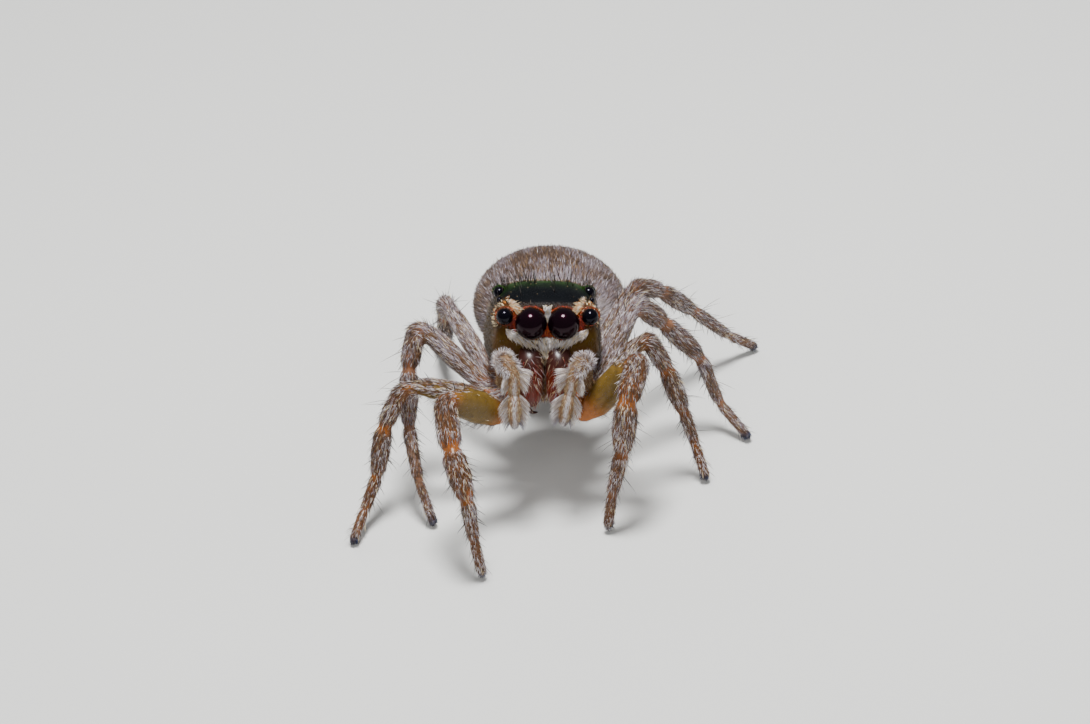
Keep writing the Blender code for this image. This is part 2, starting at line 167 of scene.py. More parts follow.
# Colours, as light reflected in red, green and blue.
ORANGE = (0.36, 0.105, 0.018)
AMBER = (0.150, 0.056, 0.015)
BROWN = (0.085, 0.036, 0.016)
DARK = (0.022, 0.014, 0.011)
CHEEK = (0.088, 0.054, 0.006)
THIGH_TAN = (0.120, 0.073, 0.016)
PALE_TAN = (0.34, 0.215, 0.125)
GREY_BROWN = (0.17, 0.120, 0.098)
WHITE = (0.66, 0.61, 0.62)
SILVER = (0.40, 0.355, 0.375)
CREAM = (0.76, 0.62, 0.40)
STRAW = (0.50, 0.38, 0.22)
LILAC = (0.22, 0.180, 0.215)
TAN_HAIR = (0.22, 0.135, 0.075)
PALP_TAN = (0.32, 0.155, 0.058)
RUST = (0.26, 0.014, 0.002)
GOLD = (0.60, 0.20, 0.02)
# Dark foot hair with a painted bluish sheen.
BLUE_BLACK_AND_SHEEN = (0.018, 0.026, 0.075)
# Crown's rear: dark green scale colour with a painted green sheen.
GREEN_SCALE_AND_SHEEN = (0.013, 0.044, 0.002)
CROWN_BLACK = (0.0025, 0.003, 0.004)
FACE_GROUND = (0.045, 0.014, 0.004)
# Flank skin: dark olive-brown deepened by painted shade.
FLANK_DARK_AND_SHADE = (0.020, 0.013, 0.004)
DEEP_RUST = (0.12, 0.008, 0.002)
RIM_DARK = (0.14, 0.010, 0.002)
RIM_BRIGHT = (0.50, 0.060, 0.005)
BAND_WHITE = (0.82, 0.77, 0.72)
PLUME_WHITE = (0.88, 0.84, 0.86)
PALP_TIP = (0.16, 0.17, 0.24)
PLUME_TIP = (0.13, 0.14, 0.21)
HIND_GREY = (0.17, 0.120, 0.108)
HIND_BROWN = (0.055, 0.030, 0.018)
HIND_TAN = (0.10, 0.058, 0.038)
HIND_SKIN_GREY = (0.09, 0.072, 0.074)
HIND_SKIN_BROWN = (0.05, 0.028, 0.017)
# Flank hair: dark olive with painted shade.
FLANK_HAIR_AND_SHADE = (0.045, 0.030, 0.010)
CROWN_SCALE = (0.003, 0.0035, 0.005)
CROWN_EDGE = (0.018, 0.009, 0.006)
BRISTLE_BLACK = (0.008, 0.006, 0.006)
SPINE_BLACK = (0.012, 0.008, 0.006)
BRUSH_BLACK = (0.008, 0.009, 0.014)
# Brighter blue brush hairs: a painted bluish sheen on dark hair.
BRUSH_BLUE_SHEEN = (0.06, 0.08, 0.16)
CLAW = (0.010, 0.007, 0.006)
FLOOR_GREY = (0.62, 0.62, 0.60)
SURROUND_GREY = (0.80, 0.82, 0.85)
FRONT_LENS, FRONT_GLOW = (0.0030, 0.0008, 0.0020), (0.90, 0.05, 0.35)
SIDE_LENS, SIDE_GLOW = (0.0015, 0.0012, 0.0025), (0.25, 0.20, 0.60)
JAW_BASE, JAW_TIP = (0.026, 0.006, 0.004), (0.115, 0.009, 0.001)
FANG_BASE, FANG_TIP = (0.060, 0.014, 0.007), (0.012, 0.004, 0.003)

SEEDS = {"leg": 100, "palp": 200, "hind": 11, "front": 12, "under": 13, "face": 14, "bristles": 15}


def body_directions():
    """Rotation from (side, back, up) of the front body to the world."""
    turn = Matrix.Rotation(math.radians(HEAD_TURN), 3, "Z")
    lift = Matrix.Rotation(math.radians(-HEAD_LIFT), 3, "X")
    lean = Matrix.Rotation(math.radians(HEAD_LEAN), 3, "Y")
    return turn @ lift @ lean


def find_eye_line():
    """Midpoint of the front middle eyes, moved from their centres to the eye line."""
    middle = Vector((0, 0, 0))
    for side_name in SIDES:
        low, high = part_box(f"eye_front_middle_{side_name}")
        middle += (low + high) / 4
    _, forward, up, _ = EYES["eye_front_middle"]
    return middle / MM - BODY @ Vector((0, -forward, up))


BODY = body_directions()
EYE_LINE = find_eye_line()
BODY_ARRAY = np.array(BODY)
EYE_ARRAY = np.array(EYE_LINE)


def body_point(side, forward, up):
    """World place of a point given in the front body's own directions."""
    return EYE_LINE + BODY @ Vector((side, -forward, up))


def to_world(places):
    """World places of many (side, forward, up) points."""
    flipped = places * np.array((1.0, -1.0, 1.0))
    return flipped @ BODY_ARRAY.T + EYE_ARRAY


def to_body(points):
    """(side, forward, up) of many world points."""
    turned = (points - EYE_ARRAY) @ BODY_ARRAY
    return turned * np.array((1.0, -1.0, 1.0))


def unit(vectors):
    """Vectors made one long."""
    return vectors / np.maximum(np.linalg.norm(vectors, axis=-1, keepdims=True), 1e-12)


def bump_at(values, centre, half_width):
    """Soft bump of height one round a centre."""
    return np.exp(-(((values - centre) / half_width) ** 2))


def step_at(values, edge, softness):
    """Soft step from nought below an edge to one above it."""
    return 1 / (1 + np.exp(-np.clip((values - edge) / softness, -30, 30)))


def mix(first, second, share):
    """Colours between two colours, one for each share."""
    share = np.clip(share, 0, 1)[:, None]
    return np.asarray(first) * (1 - share) + np.asarray(second) * share


def only(kept, *arrays):
    """The kept rows of several arrays."""
    return [rows[kept] for rows in arrays]


class Mottle:
    """Soft random pattern through space, the same for skin and hair."""

    def __init__(self, seed, size):
        rng = np.random.default_rng(seed)
        self.waves = rng.normal(size=(28, 3)) * (2.4 / size)
        self.phases = rng.uniform(0, 2 * math.pi, 28)

    def __call__(self, points):
        return np.sin(points @ self.waves.T + self.phases).sum(axis=1) / math.sqrt(14)


BLOTCHES = Mottle(3, 0.55)
STREAKS = Mottle(5, 0.20)

# ------------------------------------------------------------ limbs as tubes


class Limb:
    """Smooth tube along a chain of joints.

    A place along it is a number u: the joint's number plus a share of the
    segment that follows.  sizes lists (u, depth, width).
    """

    def __init__(self, points, sizes, back, reach=0.28, step=0.05):
        self.last = len(points) - 1
        self.u = np.arange(0, self.last + step / 2, step)
        self.centre = np.array([self.path(points, u, reach) for u in self.u])
        self.along = unit(np.gradient(self.centre, axis=0))
        self.back = self.carry(np.array(back))
        self.across = np.cross(self.along, self.back)
        table = np.array(sizes)
        self.depth = np.interp(self.u, table[:, 0], table[:, 1]) / 2
        self.width = np.interp(self.u, table[:, 0], table[:, 2]) / 2

    def path(self, points, u, reach):
        """Point on the chain at u, with every inner joint rounded."""
        joint = int(round(u))
        if 0 < joint < self.last and abs(u - joint) < reach:
            before, at, after = points[joint - 1], points[joint], points[joint + 1]
            start = at.lerp(before, reach)
            end = at.lerp(after, reach)
            share = (u - joint + reach) / (2 * reach)
            return start.lerp(at, share).lerp(at.lerp(end, share), share)
        first = min(int(u), self.last - 1)
        return points[first].lerp(points[first + 1], u - first)

    def carry(self, back):
        """Back direction carried along the tube without twist."""
        rows = []
        for along in self.along:
            back = back - along * (back @ along)
            back = back / np.linalg.norm(back)
            rows.append(back)
        return np.array(rows)

    def at(self, values, u):
        """Values of the tube's table at many u."""
        return np.stack([np.interp(u, self.u, values[:, k]) for k in range(3)], axis=1)

    def rings(self, sides=20):
        """Ring corners, with the u and the angle of each."""
        angles = np.arange(sides) * (2 * math.pi / sides)
        back = np.cos(angles)[None, :, None] * self.back[:, None] * self.depth[:, None, None]
        across = np.sin(angles)[None, :, None] * self.across[:, None] * self.width[:, None, None]
        return self.centre[:, None] + back + across, np.meshgrid(self.u, angles, indexing="ij")


def direction(heading, rise, side):
    """Unit direction in the world from a heading and a rise in degrees."""
    turn, lift = math.radians(heading), math.radians(rise)
    flat = math.cos(lift)
    return Vector((side * math.sin(turn) * flat, -math.cos(turn) * flat, math.sin(lift)))


def leg_joints(pair, side_name):
    """Joints of one leg from the coxa's root to the tip of the foot."""
    side = SIDES[side_name]
    out, forward, up = HIPS[pair]
    root = body_point(side * COXA_ROOT_SIDE, forward + COXA_ROOT_AHEAD[pair], COXA_ROOT_UP)
    points = [root, body_point(side * out, forward, up)]
    thigh_heading, shin_heading, sweep, rises = LEG_POSES[(pair, side_name)]
    headings = [thigh_heading] + [shin_heading + sweep * k for k in range(4)]
    lengths = LEG_LENGTHS[pair]
    for heading, rise, length in zip(headings, rises, lengths):
        points.append(points[-1] + direction(heading, rise, side) * length)
    drop = points[-1].z - SOLE_HEIGHT
    last_rise = -math.degrees(math.asin(drop / lengths[-1]))
    points.append(points[-1] + direction(headings[-1], last_rise, side) * lengths[-1])
    return points


def leg_limb(pair, side_name):
    """Tube of one leg, narrower at each joint than between them."""
    points = leg_joints(pair, side_name)
    first = (points[2] - points[1]).normalized()
    back = (Vector((0, 0, 1)) - first * first.z).normalized()
    coxa = (points[1] - points[0]).normalized()
    back = first.rotation_difference(coxa) @ back
    root, thigh, knee, patella, tibia, metatarsus, tarsus = SKIN_DEPTHS[pair]
    flat = THIGH_FLATNESS[pair]
    depths = [
        (0.0, root, 1.0), (0.8, root, 1.0), (1.0, 0.92 * root, 1.0), (1.2, 0.82 * thigh, 0.9),
        (1.45, thigh, flat), (1.7, 0.95 * thigh, flat), (1.9, 0.88 * knee, 0.95), (2.0, 0.86 * knee, 0.95),
        (2.2, 0.98 * patella, 0.95), (2.5, 1.06 * patella, 0.95), (2.8, 1.04 * patella, 0.95),
        (2.93, 0.84 * patella, 0.95), (3.0, 0.72 * tibia, 0.95), (3.15, 0.96 * tibia, 0.95),
        (3.5, 1.05 * tibia, 0.95), (3.82, 0.88 * tibia, 0.95), (3.95, 0.70 * tibia, 0.95),
        (4.0, 0.92 * metatarsus, 0.95), (4.15, 1.10 * metatarsus, 0.95), (4.6, metatarsus, 0.95),
        (4.9, 0.94 * metatarsus, 0.95), (5.0, 0.92 * tarsus, 0.95), (5.2, 1.06 * tarsus, 0.95),
        (5.8, tarsus, 1.0), (5.95, 0.86 * tarsus, 1.0), (6.0, 0.60 * tarsus, 1.0),
    ]
    return Limb(points, [(u, depth, depth * share) for u, depth, share in depths], back)


def palp_limb(side_name):
    """Tube of one feeler, with its swollen last joint."""
    side = SIDES[side_name]
    points = [body_point(side * out, forward, up) for out, forward, up in PALP_JOINTS[side_name]]
    wrist_end = points[2].lerp(points[3], 0.34)
    chain = [points[0], points[1], points[2], wrist_end, points[3]]
    sizes = [(0.0, 0.32, 0.32), (0.5, 0.34, 0.34), (1.0, 0.38, 0.38), (1.5, 0.40, 0.40),
             (2.0, 0.31, 0.31), (2.3, 0.33, 0.33), (2.7, 0.31, 0.31), (3.0, 0.25, 0.25),
             (3.2, 0.33, 0.34), (3.45, 0.37, 0.38), (3.7, 0.33, 0.34), (3.88, 0.26, 0.27),
             (4.0, 0.16, 0.17)]
    return Limb(chain, sizes, BODY @ Vector((0, 1, 0)), reach=0.24)


# -------------------------------------------------------------- body as rings

def squarish_ring(forward, half_width, top, foot, squareness, taper, sides):
    """Rounded-square cross-section of the front body, narrower toward its top."""
    angles = 2 * math.pi * (np.arange(sides) + 0.5) / sides
    c, s = np.cos(angles), np.sin(angles)
    across = np.copysign(np.abs(c) ** (2 / squareness), c)
    rise = np.copysign(np.abs(s) ** (2 / squareness), s)
    out = half_width * across * (1 - taper * rise)
    up = (top + foot) / 2 + (top - foot) / 2 * rise
    return to_world(np.stack([out, np.full(sides, forward), up], axis=1))


def smooth_rows(rows, steps):
    """Rows of a table blended smoothly into more rows, without overshoot."""
    table = np.array(rows)
    key = table[:, 0]
    slopes = np.zeros_like(table)
    secants = np.diff(table, axis=0) / np.diff(key)[:, None]
    product = secants[1:] * secants[:-1]
    total = secants[1:] + secants[:-1]
    slopes[1:-1] = np.where(product > 0, 2 * product / np.where(total == 0, 1, total), 0)
    slopes[0], slopes[-1] = secants[0], secants[-1]
    fine = np.interp(np.linspace(0, len(key) - 1, steps), np.arange(len(key)), key)
    found = []
    for value in fine:
        k = min(max(int(np.searchsorted(key, value)) - 1, 0), len(key) - 2)
        width = key[k + 1] - key[k]
        t = (value - key[k]) / width
        first = (1 + 2 * t) * (1 - t) ** 2 * table[k] + t * (1 - t) ** 2 * width * slopes[k]
        second = t * t * (3 - 2 * t) * table[k + 1] + t * t * (t - 1) * width * slopes[k + 1]
        found.append(first + second)
    return np.array(found)


def shield_shell():
    """Rings of the front body from the face to the waist, inside its coat."""
    half = SHIELD_WIDTH / 2
    rows = [
        (0.000, 0.66 * half, 0.50 * SHIELD_TOP, -0.42 * SHIELD_FOOT),
        (0.015, 0.79 * half, 0.60 * SHIELD_TOP, -0.46 * SHIELD_FOOT),
        (0.050, 0.87 * half, 0.71 * SHIELD_TOP, -0.60 * SHIELD_FOOT),
        (0.120, 0.92 * half, 0.82 * SHIELD_TOP, -0.86 * SHIELD_FOOT),
        (0.250, 0.96 * half, 0.94 * SHIELD_TOP, -0.98 * SHIELD_FOOT),
        (0.400, 0.99 * half, 1.00 * SHIELD_TOP, -1.00 * SHIELD_FOOT),
        (0.560, 1.00 * half, 0.92 * SHIELD_TOP, -1.00 * SHIELD_FOOT),
        (0.700, 0.96 * half, 0.60 * SHIELD_TOP, -0.98 * SHIELD_FOOT),
        (0.830, 0.84 * half, 0.04 * SHIELD_TOP, -0.95 * SHIELD_FOOT),
        (0.930, 0.62 * half, -0.34 * SHIELD_FOOT, -0.90 * SHIELD_FOOT),
        (1.000, 0.30 * half, -0.56 * SHIELD_FOOT, -0.80 * SHIELD_FOOT),
    ]
    rings = []
    for share, wide, high, low in smooth_rows(rows, 61):
        coat = SHIELD_COAT * (1 + 1.5 * max(share - 0.3, 0))
        forward = -SHIELD_LENGTH * share - FACE_COAT * (1 - share)
        rings.append(squarish_ring(forward, wide - coat, high - coat, low, 3.6, 0.10, 72))
    return np.array(rings)


def under_shell():
    """Rings of the underside between the legs."""
    rows = [(-0.30, 0.20, 0.40), (-0.46, 0.36, 0.66), (-0.74, 0.34, 0.66), (-1.10, 0.38, 0.76),
            (-1.80, 0.40, 0.78), (-2.50, 0.34, 0.66), (-2.95, 0.22, 0.44), (-3.10, 0.12, 0.26)]
    top = -SHIELD_FOOT + 0.25
    rings = []
    for forward, wide, deep in rows:
        low = -SHIELD_FOOT - deep + UNDER_COAT
        rings.append(squarish_ring(forward, wide, top, low, 2.4, 0.0, 32))
    return np.array(rings)


def hind_section(share):
    """Centre and swell of the hind body, share -1 at the front to 1 at the rear."""
    fall = HIND_SLOPE * share * HIND_LENGTH / 2
    centre = HIND_CENTRE + Vector((0, share * HIND_LENGTH / 2, -fall))
    return centre, max(1 - share * share, 0) ** 0.44 * (1 + 0.06 * share)


def oval_ring(centre, across, upward, half_width, half_height, sides=48):
    """Oval ring of points about a centre."""
    angles = np.arange(sides) * (2 * math.pi / sides)
    wide = np.cos(angles)[:, None] * np.array(across) * half_width
    tall = np.sin(angles)[:, None] * np.array(upward) * half_height
    return np.array(centre) + wide + tall


def hind_shell():
    """Rings of the hind body, inside its coat."""
    turn = Matrix.Rotation(math.radians(HIND_LEAN), 3, "Y")
    across, upward = turn @ Vector((1, 0, 0)), turn @ Vector((0, 0, 1))
    rings = []
    for angle in np.linspace(math.radians(4), math.radians(176), 49):
        centre, swell = hind_section(-math.cos(angle))
        wide = max(swell * HIND_WIDTH / 2 - HIND_COAT, 0.05)
        tall = max(swell * HIND_HEIGHT / 2 - HIND_COAT, 0.05)
        rings.append(oval_ring(centre, across, upward, wide, tall))
    return np.array(rings)


def spinneret_shells():
    """Six short finger-like spinnerets at the end of the hind body."""
    end = hind_section(0.97)[0]
    shells = []
    for out, drop in ((0.16, 0.02), (0.08, -0.12), (0.15, -0.20)):
        for side in (-1, 1):
            root = end + Vector((side * out, -0.10, drop))
            tip = root + Vector((side * 0.03, 0.52, -0.20))
            rings = []
            for share, size in ((0, 0.10), (0.4, 0.10), (0.75, 0.085), (0.92, 0.06), (1, 0.02)):
                centre = root.lerp(tip, share)
                rings.append(oval_ring(centre, (1, 0, 0), (0, 0.3, 0.95), size, size, 14))
            shells.append(np.array(rings))
    return shells


def waist_shell():
    """Narrow stalk between the front body and the hind body."""
    front = body_point(0, -SHIELD_LENGTH + 0.3, -0.70 * SHIELD_FOOT)
    back = hind_section(-0.9)[0]
    rings = []
    for share in np.linspace(0, 1, 9):
        rings.append(oval_ring(front.lerp(back, share), (1, 0, 0), (0, 0, 1), 0.22, 0.17, 20))
    return np.array(rings)


def eye_collar(side, out, forward, up, radius):
    """Raised collar of skin that an eye sits in."""
    axis = Vector((0, 0, 0))
    reach = forward - radius * 0.05
    if radius < 0.18:
        reach = forward
        axis = Vector((side * 0.10, 0, 0.05))
    rings = []
    for back, size in ((0.55, 1.35), (0.20, 1.16), (0.06, 1.10), (0.015, 1.06), (0.0, 0.98)):
        ahead = reach - back * radius * 1.6
        centre = np.array((side * out, ahead, up)) - np.array(axis) * back * radius
        angles = np.arange(32) * (2 * math.pi / 32)
        spread = radius * size
        places = np.stack([centre[0] + np.cos(angles) * spread, np.full(32, centre[1]),
                           centre[2] + np.sin(angles) * spread], axis=1)
        rings.append(to_world(places))
    return np.array(rings)


# ----------------------------------------------------------------- the skin

def shell_mesh(shape, rings):
    """Add one closed tube of rings to a mesh being built."""
    loops = [[shape.verts.new(point) for point in ring] for ring in rings]
    count = len(loops[0])
    faces = []
    for near, far in zip(loops, loops[1:]):
        for i in range(count):
            j = (i + 1) % count
            faces.append(shape.faces.new((near[i], near[j], far[j], far[i])))
    faces.append(shape.faces.new(reversed(loops[0])))
    faces.append(shape.faces.new(loops[-1]))
    bmesh.ops.recalc_face_normals(shape, faces=faces)


def finished_mesh(name, shape):
    """Plain mesh from a mesh being built."""
    mesh = bpy.data.meshes.new(name)
    shape.to_mesh(mesh)
    shape.free()
    return mesh


class Part:
    """Piece of flesh: its rings, and where each ring corner is on it."""

    def __init__(self, kind, rings, limb=None, pair=0, side=0.0, places=None):
        self.kind = kind
        self.rings = rings
        self.limb = limb
        self.pair = pair
        self.side = side
        self.places = places
        self.side_name = "left" if side > 0 else "right"


def flesh_parts():
    """Every piece of flesh that the skin covers."""
    parts = [Part("front", shield_shell()), Part("under", under_shell()),
             Part("waist", waist_shell()), Part("hind", hind_shell())]
    parts += [Part("spinneret", rings) for rings in spinneret_shells()]
    for out, forward, up, radius in EYES.values():
        for side in SIDES.values():
            parts.append(Part("front", eye_collar(side, out, forward, up, radius)))
    for side_name, side in SIDES.items():
        limb = palp_limb(side_name)
        rings, places = limb.rings()
        parts.append(Part("palp", rings, limb, 0, side, places))
        for pair in HIPS:
            limb = leg_limb(pair, side_name)
            rings, places = limb.rings()
            parts.append(Part("leg", rings, limb, pair, side, places))
    return parts


def joined_skin(parts):
    """All the flesh joined in one closed skin with even faces."""
    shape = bmesh.new()
    for part in parts:
        shell_mesh(shape, part.rings)
    flesh = bpy.data.objects.new("flesh", finished_mesh("flesh", shape))
    bpy.context.scene.collection.objects.link(flesh)
    joiner = flesh.modifiers.new("join", "REMESH")
    joiner.mode = "VOXEL"
    joiner.voxel_size = SKIN_CELL
    joiner.adaptivity = 0.0
    even = flesh.modifiers.new("even", "SMOOTH")
    even.factor = 0.5
    even.iterations = 3
    graph = bpy.context.evaluated_depsgraph_get()
    skin = bpy.data.meshes.new_from_object(flesh.evaluated_get(graph))
    bpy.data.objects.remove(flesh, do_unlink=True)
    return skin


def mesh_arrays(mesh):
    """Vertices, triangles and normals of a mesh as arrays."""
    points = np.empty(len(mesh.vertices) * 3)
    mesh.vertices.foreach_get("co", points)
    mesh.calc_loop_triangles()
    triangles = np.empty(len(mesh.loop_triangles) * 3, dtype=np.int32)
    mesh.loop_triangles.foreach_get("vertices", triangles)
    normals = np.empty(len(mesh.vertices) * 3)
    mesh.vertex_normals.foreach_get("vector", normals)
    return points.reshape(-1, 3), triangles.reshape(-1, 3), normals.reshape(-1, 3)


class Skin:
    """The joined skin with, for each of its points, the part and the place on it."""

    def __init__(self, parts):
        self.parts = parts
        self.mesh = joined_skin(parts)
        self.points, self.triangles, self.normals = mesh_arrays(self.mesh)
        samples, owner, places = [], [], []
        for number, part in enumerate(parts):
            corners = part.rings.reshape(-1, 3)
            samples.append(corners)
            owner.append(np.full(len(corners), number))
            if part.places is None:
                places.append(np.zeros((len(corners), 2)))
            else:
                places.append(np.stack([grid.ravel() for grid in part.places], axis=1))
        samples = np.concatenate(samples)
        owner = np.concatenate(owner)
        places = np.concatenate(places)
        tree = KDTree(len(samples))
        for number, sample in enumerate(samples):
            tree.insert(sample, number)
        tree.balance()
        nearest = np.array([tree.find(point)[1] for point in self.points])
        self.owner = owner[nearest]
        self.place = places[nearest]

    def sample(self, rng, numbers, count):
        """Even random points on some parts: place, normal, part number, u and angle."""
        wanted = np.isin(self.owner[self.triangles[:, 0]], numbers)
        chosen = self.triangles[wanted]
        a, b, c = (self.points[chosen[:, k]] for k in range(3))
        area = np.linalg.norm(np.cross(b - a, c - a), axis=1)
        pick = rng.choice(len(chosen), count, p=area / area.sum())
        first = np.sqrt(rng.uniform(size=count))[:, None]
        second = rng.uniform(size=count)[:, None]
        weights = (1 - first, first * (1 - second), first * second)
        corners = chosen[pick]
        point = sum(w * self.points[corners[:, k]] for k, w in enumerate(weights))
        normal = unit(sum(w * self.normals[corners[:, k]] for k, w in enumerate(weights)))
        lead = corners[:, 0]
        return point, normal, self.owner[lead], self.place[lead]


# ------------------------------------------------------------------ markings

def leg_skin(pair, u, points):
    """Skin colour and roughness of a leg."""
    ring = sum(strength * bump_at(u, place, half) for place, half, strength in LEG_RINGS)
    pattern = STREAKS(points)
    colour = mix(AMBER, BROWN, 0.50 + 0.30 * pattern + 0.25 * step_at(u, 4.4, 0.2))
    colour = mix(colour, ORANGE, np.clip(ring, 0, 1) * 0.85)
    tan = mix(THIGH_TAN, ORANGE, 0.85 * (1 - step_at(u, 1.22, 0.05)) + 0.35 * step_at(u, 1.86, 0.04))
    grey = mix(GREY_BROWN, BROWN, 0.4 + 0.3 * pattern)
    thigh = tan if pair <= 2 else 0.55 * tan + 0.45 * grey
    colour = mix(colour, thigh, 1 - step_at(u, 1.97, 0.03))
    if pair >= 3:
        colour = mix(colour, GREY_BROWN, np.full(len(u), 0.35))
    colour = mix(colour, DARK, 0.8 * step_at(u, FOOT_DARK, 0.05))
    return colour, np.where(u < 1.95, 0.38, 0.42)


def palp_skin(u, points):
    """Skin colour and roughness of a feeler."""
    pattern = STREAKS(points)
    amber = 0.25 + 0.2 * pattern + 0.5 * bump_at(u, 2.0, 0.2) + 0.4 * bump_at(u, 3.0, 0.15)
    colour = mix(PALE_TAN, AMBER, amber)
    colour = mix(colour, GREY_BROWN, 0.8 * step_at(u, PALP_GREY, 0.06))
    return colour, np.full(len(u), 0.45)


def front_regions(places):
    """Shares of black crown and grey rear for places on the front body."""
    _, forward, up = places.T
    crown = step_at(up, CROWN_FOOT, 0.012) * step_at(forward, CROWN_REAR, 0.05)
    rear = (1 - step_at(forward, -1.70, 0.10)) * step_at(up, -0.35 - 0.25 * (forward + 1.7), 0.10)
    return crown, rear


def front_skin(points):
    """Skin colour and roughness of the front body."""
    places = to_body(points)
    crown, rear = front_regions(places)
    _, forward, up = places.T
    low = 1 - step_at(up, -0.75, 0.15)
    # Darker toward the rear and flanks: the flank's own dark olive-brown deepened by painted shade.
    back = 1 - step_at(forward, -0.80, 0.15)
    colour = mix(CHEEK, BROWN, 0.20 + 0.20 * BLOTCHES(points) + 0.6 * low)
    colour = mix(colour, FLANK_DARK_AND_SHADE, 0.75 * back)
    face = step_at(forward, FACE_REAR, 0.08) * step_at(up, -0.28, 0.06)
    colour = mix(colour, FACE_GROUND, 0.9 * face)
    colour = mix(colour, GREY_BROWN, 0.35 * rear)
    # Crown's rear: dark green scale colour with a painted green sheen.
    green_and_sheen = crown * step_at(-forward, GREEN_AND_SHEEN_FROM, 0.12) * (0.7 + 0.25 * STREAKS(points))
    colour = mix(mix(colour, CROWN_BLACK, crown), GREEN_SCALE_AND_SHEEN, green_and_sheen)
    rough = 0.50 + 0.10 * rear
    return colour, rough


def hind_pattern(points):
    """How brown the hind body is: blotches, with paler chevrons toward the rear."""
    local = points - np.array(HIND_CENTRE)
    along = local[:, 1] / (HIND_LENGTH / 2)
    side = np.abs(local[:, 0]) / (HIND_WIDTH / 2)
    chevrons = np.sin(9.0 * (along + 0.55 * side)) * step_at(along, -0.25, 0.15)
    middle = 1 - step_at(side, 0.55, 0.12)
    return 0.52 + 0.26 * BLOTCHES(points) + 0.10 * STREAKS(points) + 0.24 * chevrons * middle


def hind_skin(points):
    """Skin colour and roughness of the hind body."""
    brown = hind_pattern(points)
    return mix(HIND_SKIN_GREY, HIND_SKIN_BROWN, brown), np.full(len(points), 0.6)


def paint_skin(skin):
    """Blended colour and roughness for every point of the skin."""
    count = len(skin.points)
    colour = np.zeros((count, 3))
    rough = np.full(count, 0.5)
    for number, part in enumerate(skin.parts):
        here = skin.owner == number
        if not here.any():
            continue
        points, u = skin.points[here], skin.place[here][:, 0]
        if part.kind == "leg":
            colour[here], rough[here] = leg_skin(part.pair, u, points)
        elif part.kind == "palp":
            colour[here], rough[here] = palp_skin(u, points)
        elif part.kind == "hind":
            colour[here], rough[here] = hind_skin(points)
        elif part.kind == "front":
            colour[here], rough[here] = front_skin(points)
        else:
            colour[here] = mix(BROWN, AMBER, 0.4 + 0.2 * BLOTCHES(points))
    return soften(skin, colour), soften(skin, rough[:, None])[:, 0]


def soften(skin, values, rounds=2):
    """Values blended a little between neighbouring points."""
    pairs = np.concatenate([skin.triangles[:, [0, 1]], skin.triangles[:, [1, 2]], skin.triangles[:, [2, 0]]])
    for _ in range(rounds):
        total = values.copy()
        weight = np.ones(len(values))
        for first, second in ((0, 1), (1, 0)):
            np.add.at(total, pairs[:, first], values[pairs[:, second]])
            np.add.at(weight, pairs[:, first], 1)
        values = total / weight[:, None]
    return values


# ---------------------------------------------------------------- materials

def new_material(name):
    """Material with its Principled shader."""
    mat = bpy.data.materials.new(name)
    mat.use_nodes = True
    return mat, mat.node_tree, mat.node_tree.nodes["Principled BSDF"]


def variation_group():
    """Shared effect: fine light and dark variation with a height for bump."""
    tree = bpy.data.node_groups.new("fine variation", "ShaderNodeTree")
    for name, end, kind in (("Colour", "INPUT", "Color"), ("Vector", "INPUT", "Vector"),
                            ("Scale", "INPUT", "Float"), ("Amount", "INPUT", "Float"),
                            ("Colour", "OUTPUT", "Color"), ("Height", "OUTPUT", "Float")):
        tree.interface.new_socket(name, in_out=end, socket_type=f"NodeSocket{kind}")
    into = tree.nodes.new("NodeGroupInput")
    out = tree.nodes.new("NodeGroupOutput")
    noise = tree.nodes.new("ShaderNodeTexNoise")
    noise.inputs["Detail"].default_value = 4.0
    tree.links.new(into.outputs["Vector"], noise.inputs["Vector"])
    tree.links.new(into.outputs["Scale"], noise.inputs["Scale"])
    spread = tree.nodes.new("ShaderNodeMath")
    spread.operation = "SUBTRACT"
    spread.inputs[1].default_value = 0.5
    tree.links.new(noise.outputs["Fac"], spread.inputs[0])
    gain = tree.nodes.new("ShaderNodeMath")
    gain.operation = "MULTIPLY_ADD"
    gain.inputs[2].default_value = 1.0
    tree.links.new(spread.outputs[0], gain.inputs[0])
    tree.links.new(into.outputs["Amount"], gain.inputs[1])
    shade = tree.nodes.new("ShaderNodeVectorMath")
    shade.operation = "SCALE"
    tree.links.new(into.outputs["Colour"], shade.inputs[0])
    tree.links.new(gain.outputs[0], shade.inputs["Scale"])
    tree.links.new(shade.outputs[0], out.inputs["Colour"])
    tree.links.new(noise.outputs["Fac"], out.inputs["Height"])
    return tree


VARIATION = variation_group()
# Size and amount of the fine variation in each finish.
CUTICLE_GRAIN = (9000, 0.9)
HAIR_GRAIN = (14000, 0.7)
LENS_GRAIN = (2500, 0.5)
HORN_GRAIN = (6000, 1.3)
FLOOR_GRAIN = (60, 0.04)
BUMP_DEPTH = 0.00002            # metres
CUTICLE = {"Specular IOR Level": 0.05, "Coat Roughness": 0.25}
LENS = {"Roughness": 0.20, "Specular IOR Level": 0.08, "Coat Weight": 0.09, "Coat Roughness": 0.02,
        "Coat IOR": 2.0}
HORN = {"Specular IOR Level": 0.25, "Coat Weight": 0.16, "Coat Roughness": 0.14}
LIMB_GLOSS = 0.35               # clear gloss on the skin of legs and feelers


def set_finish(shader, finish):
    """Plain values on a shader's own sockets."""
    for socket, value in finish.items():
        shader.inputs[socket].default_value = value


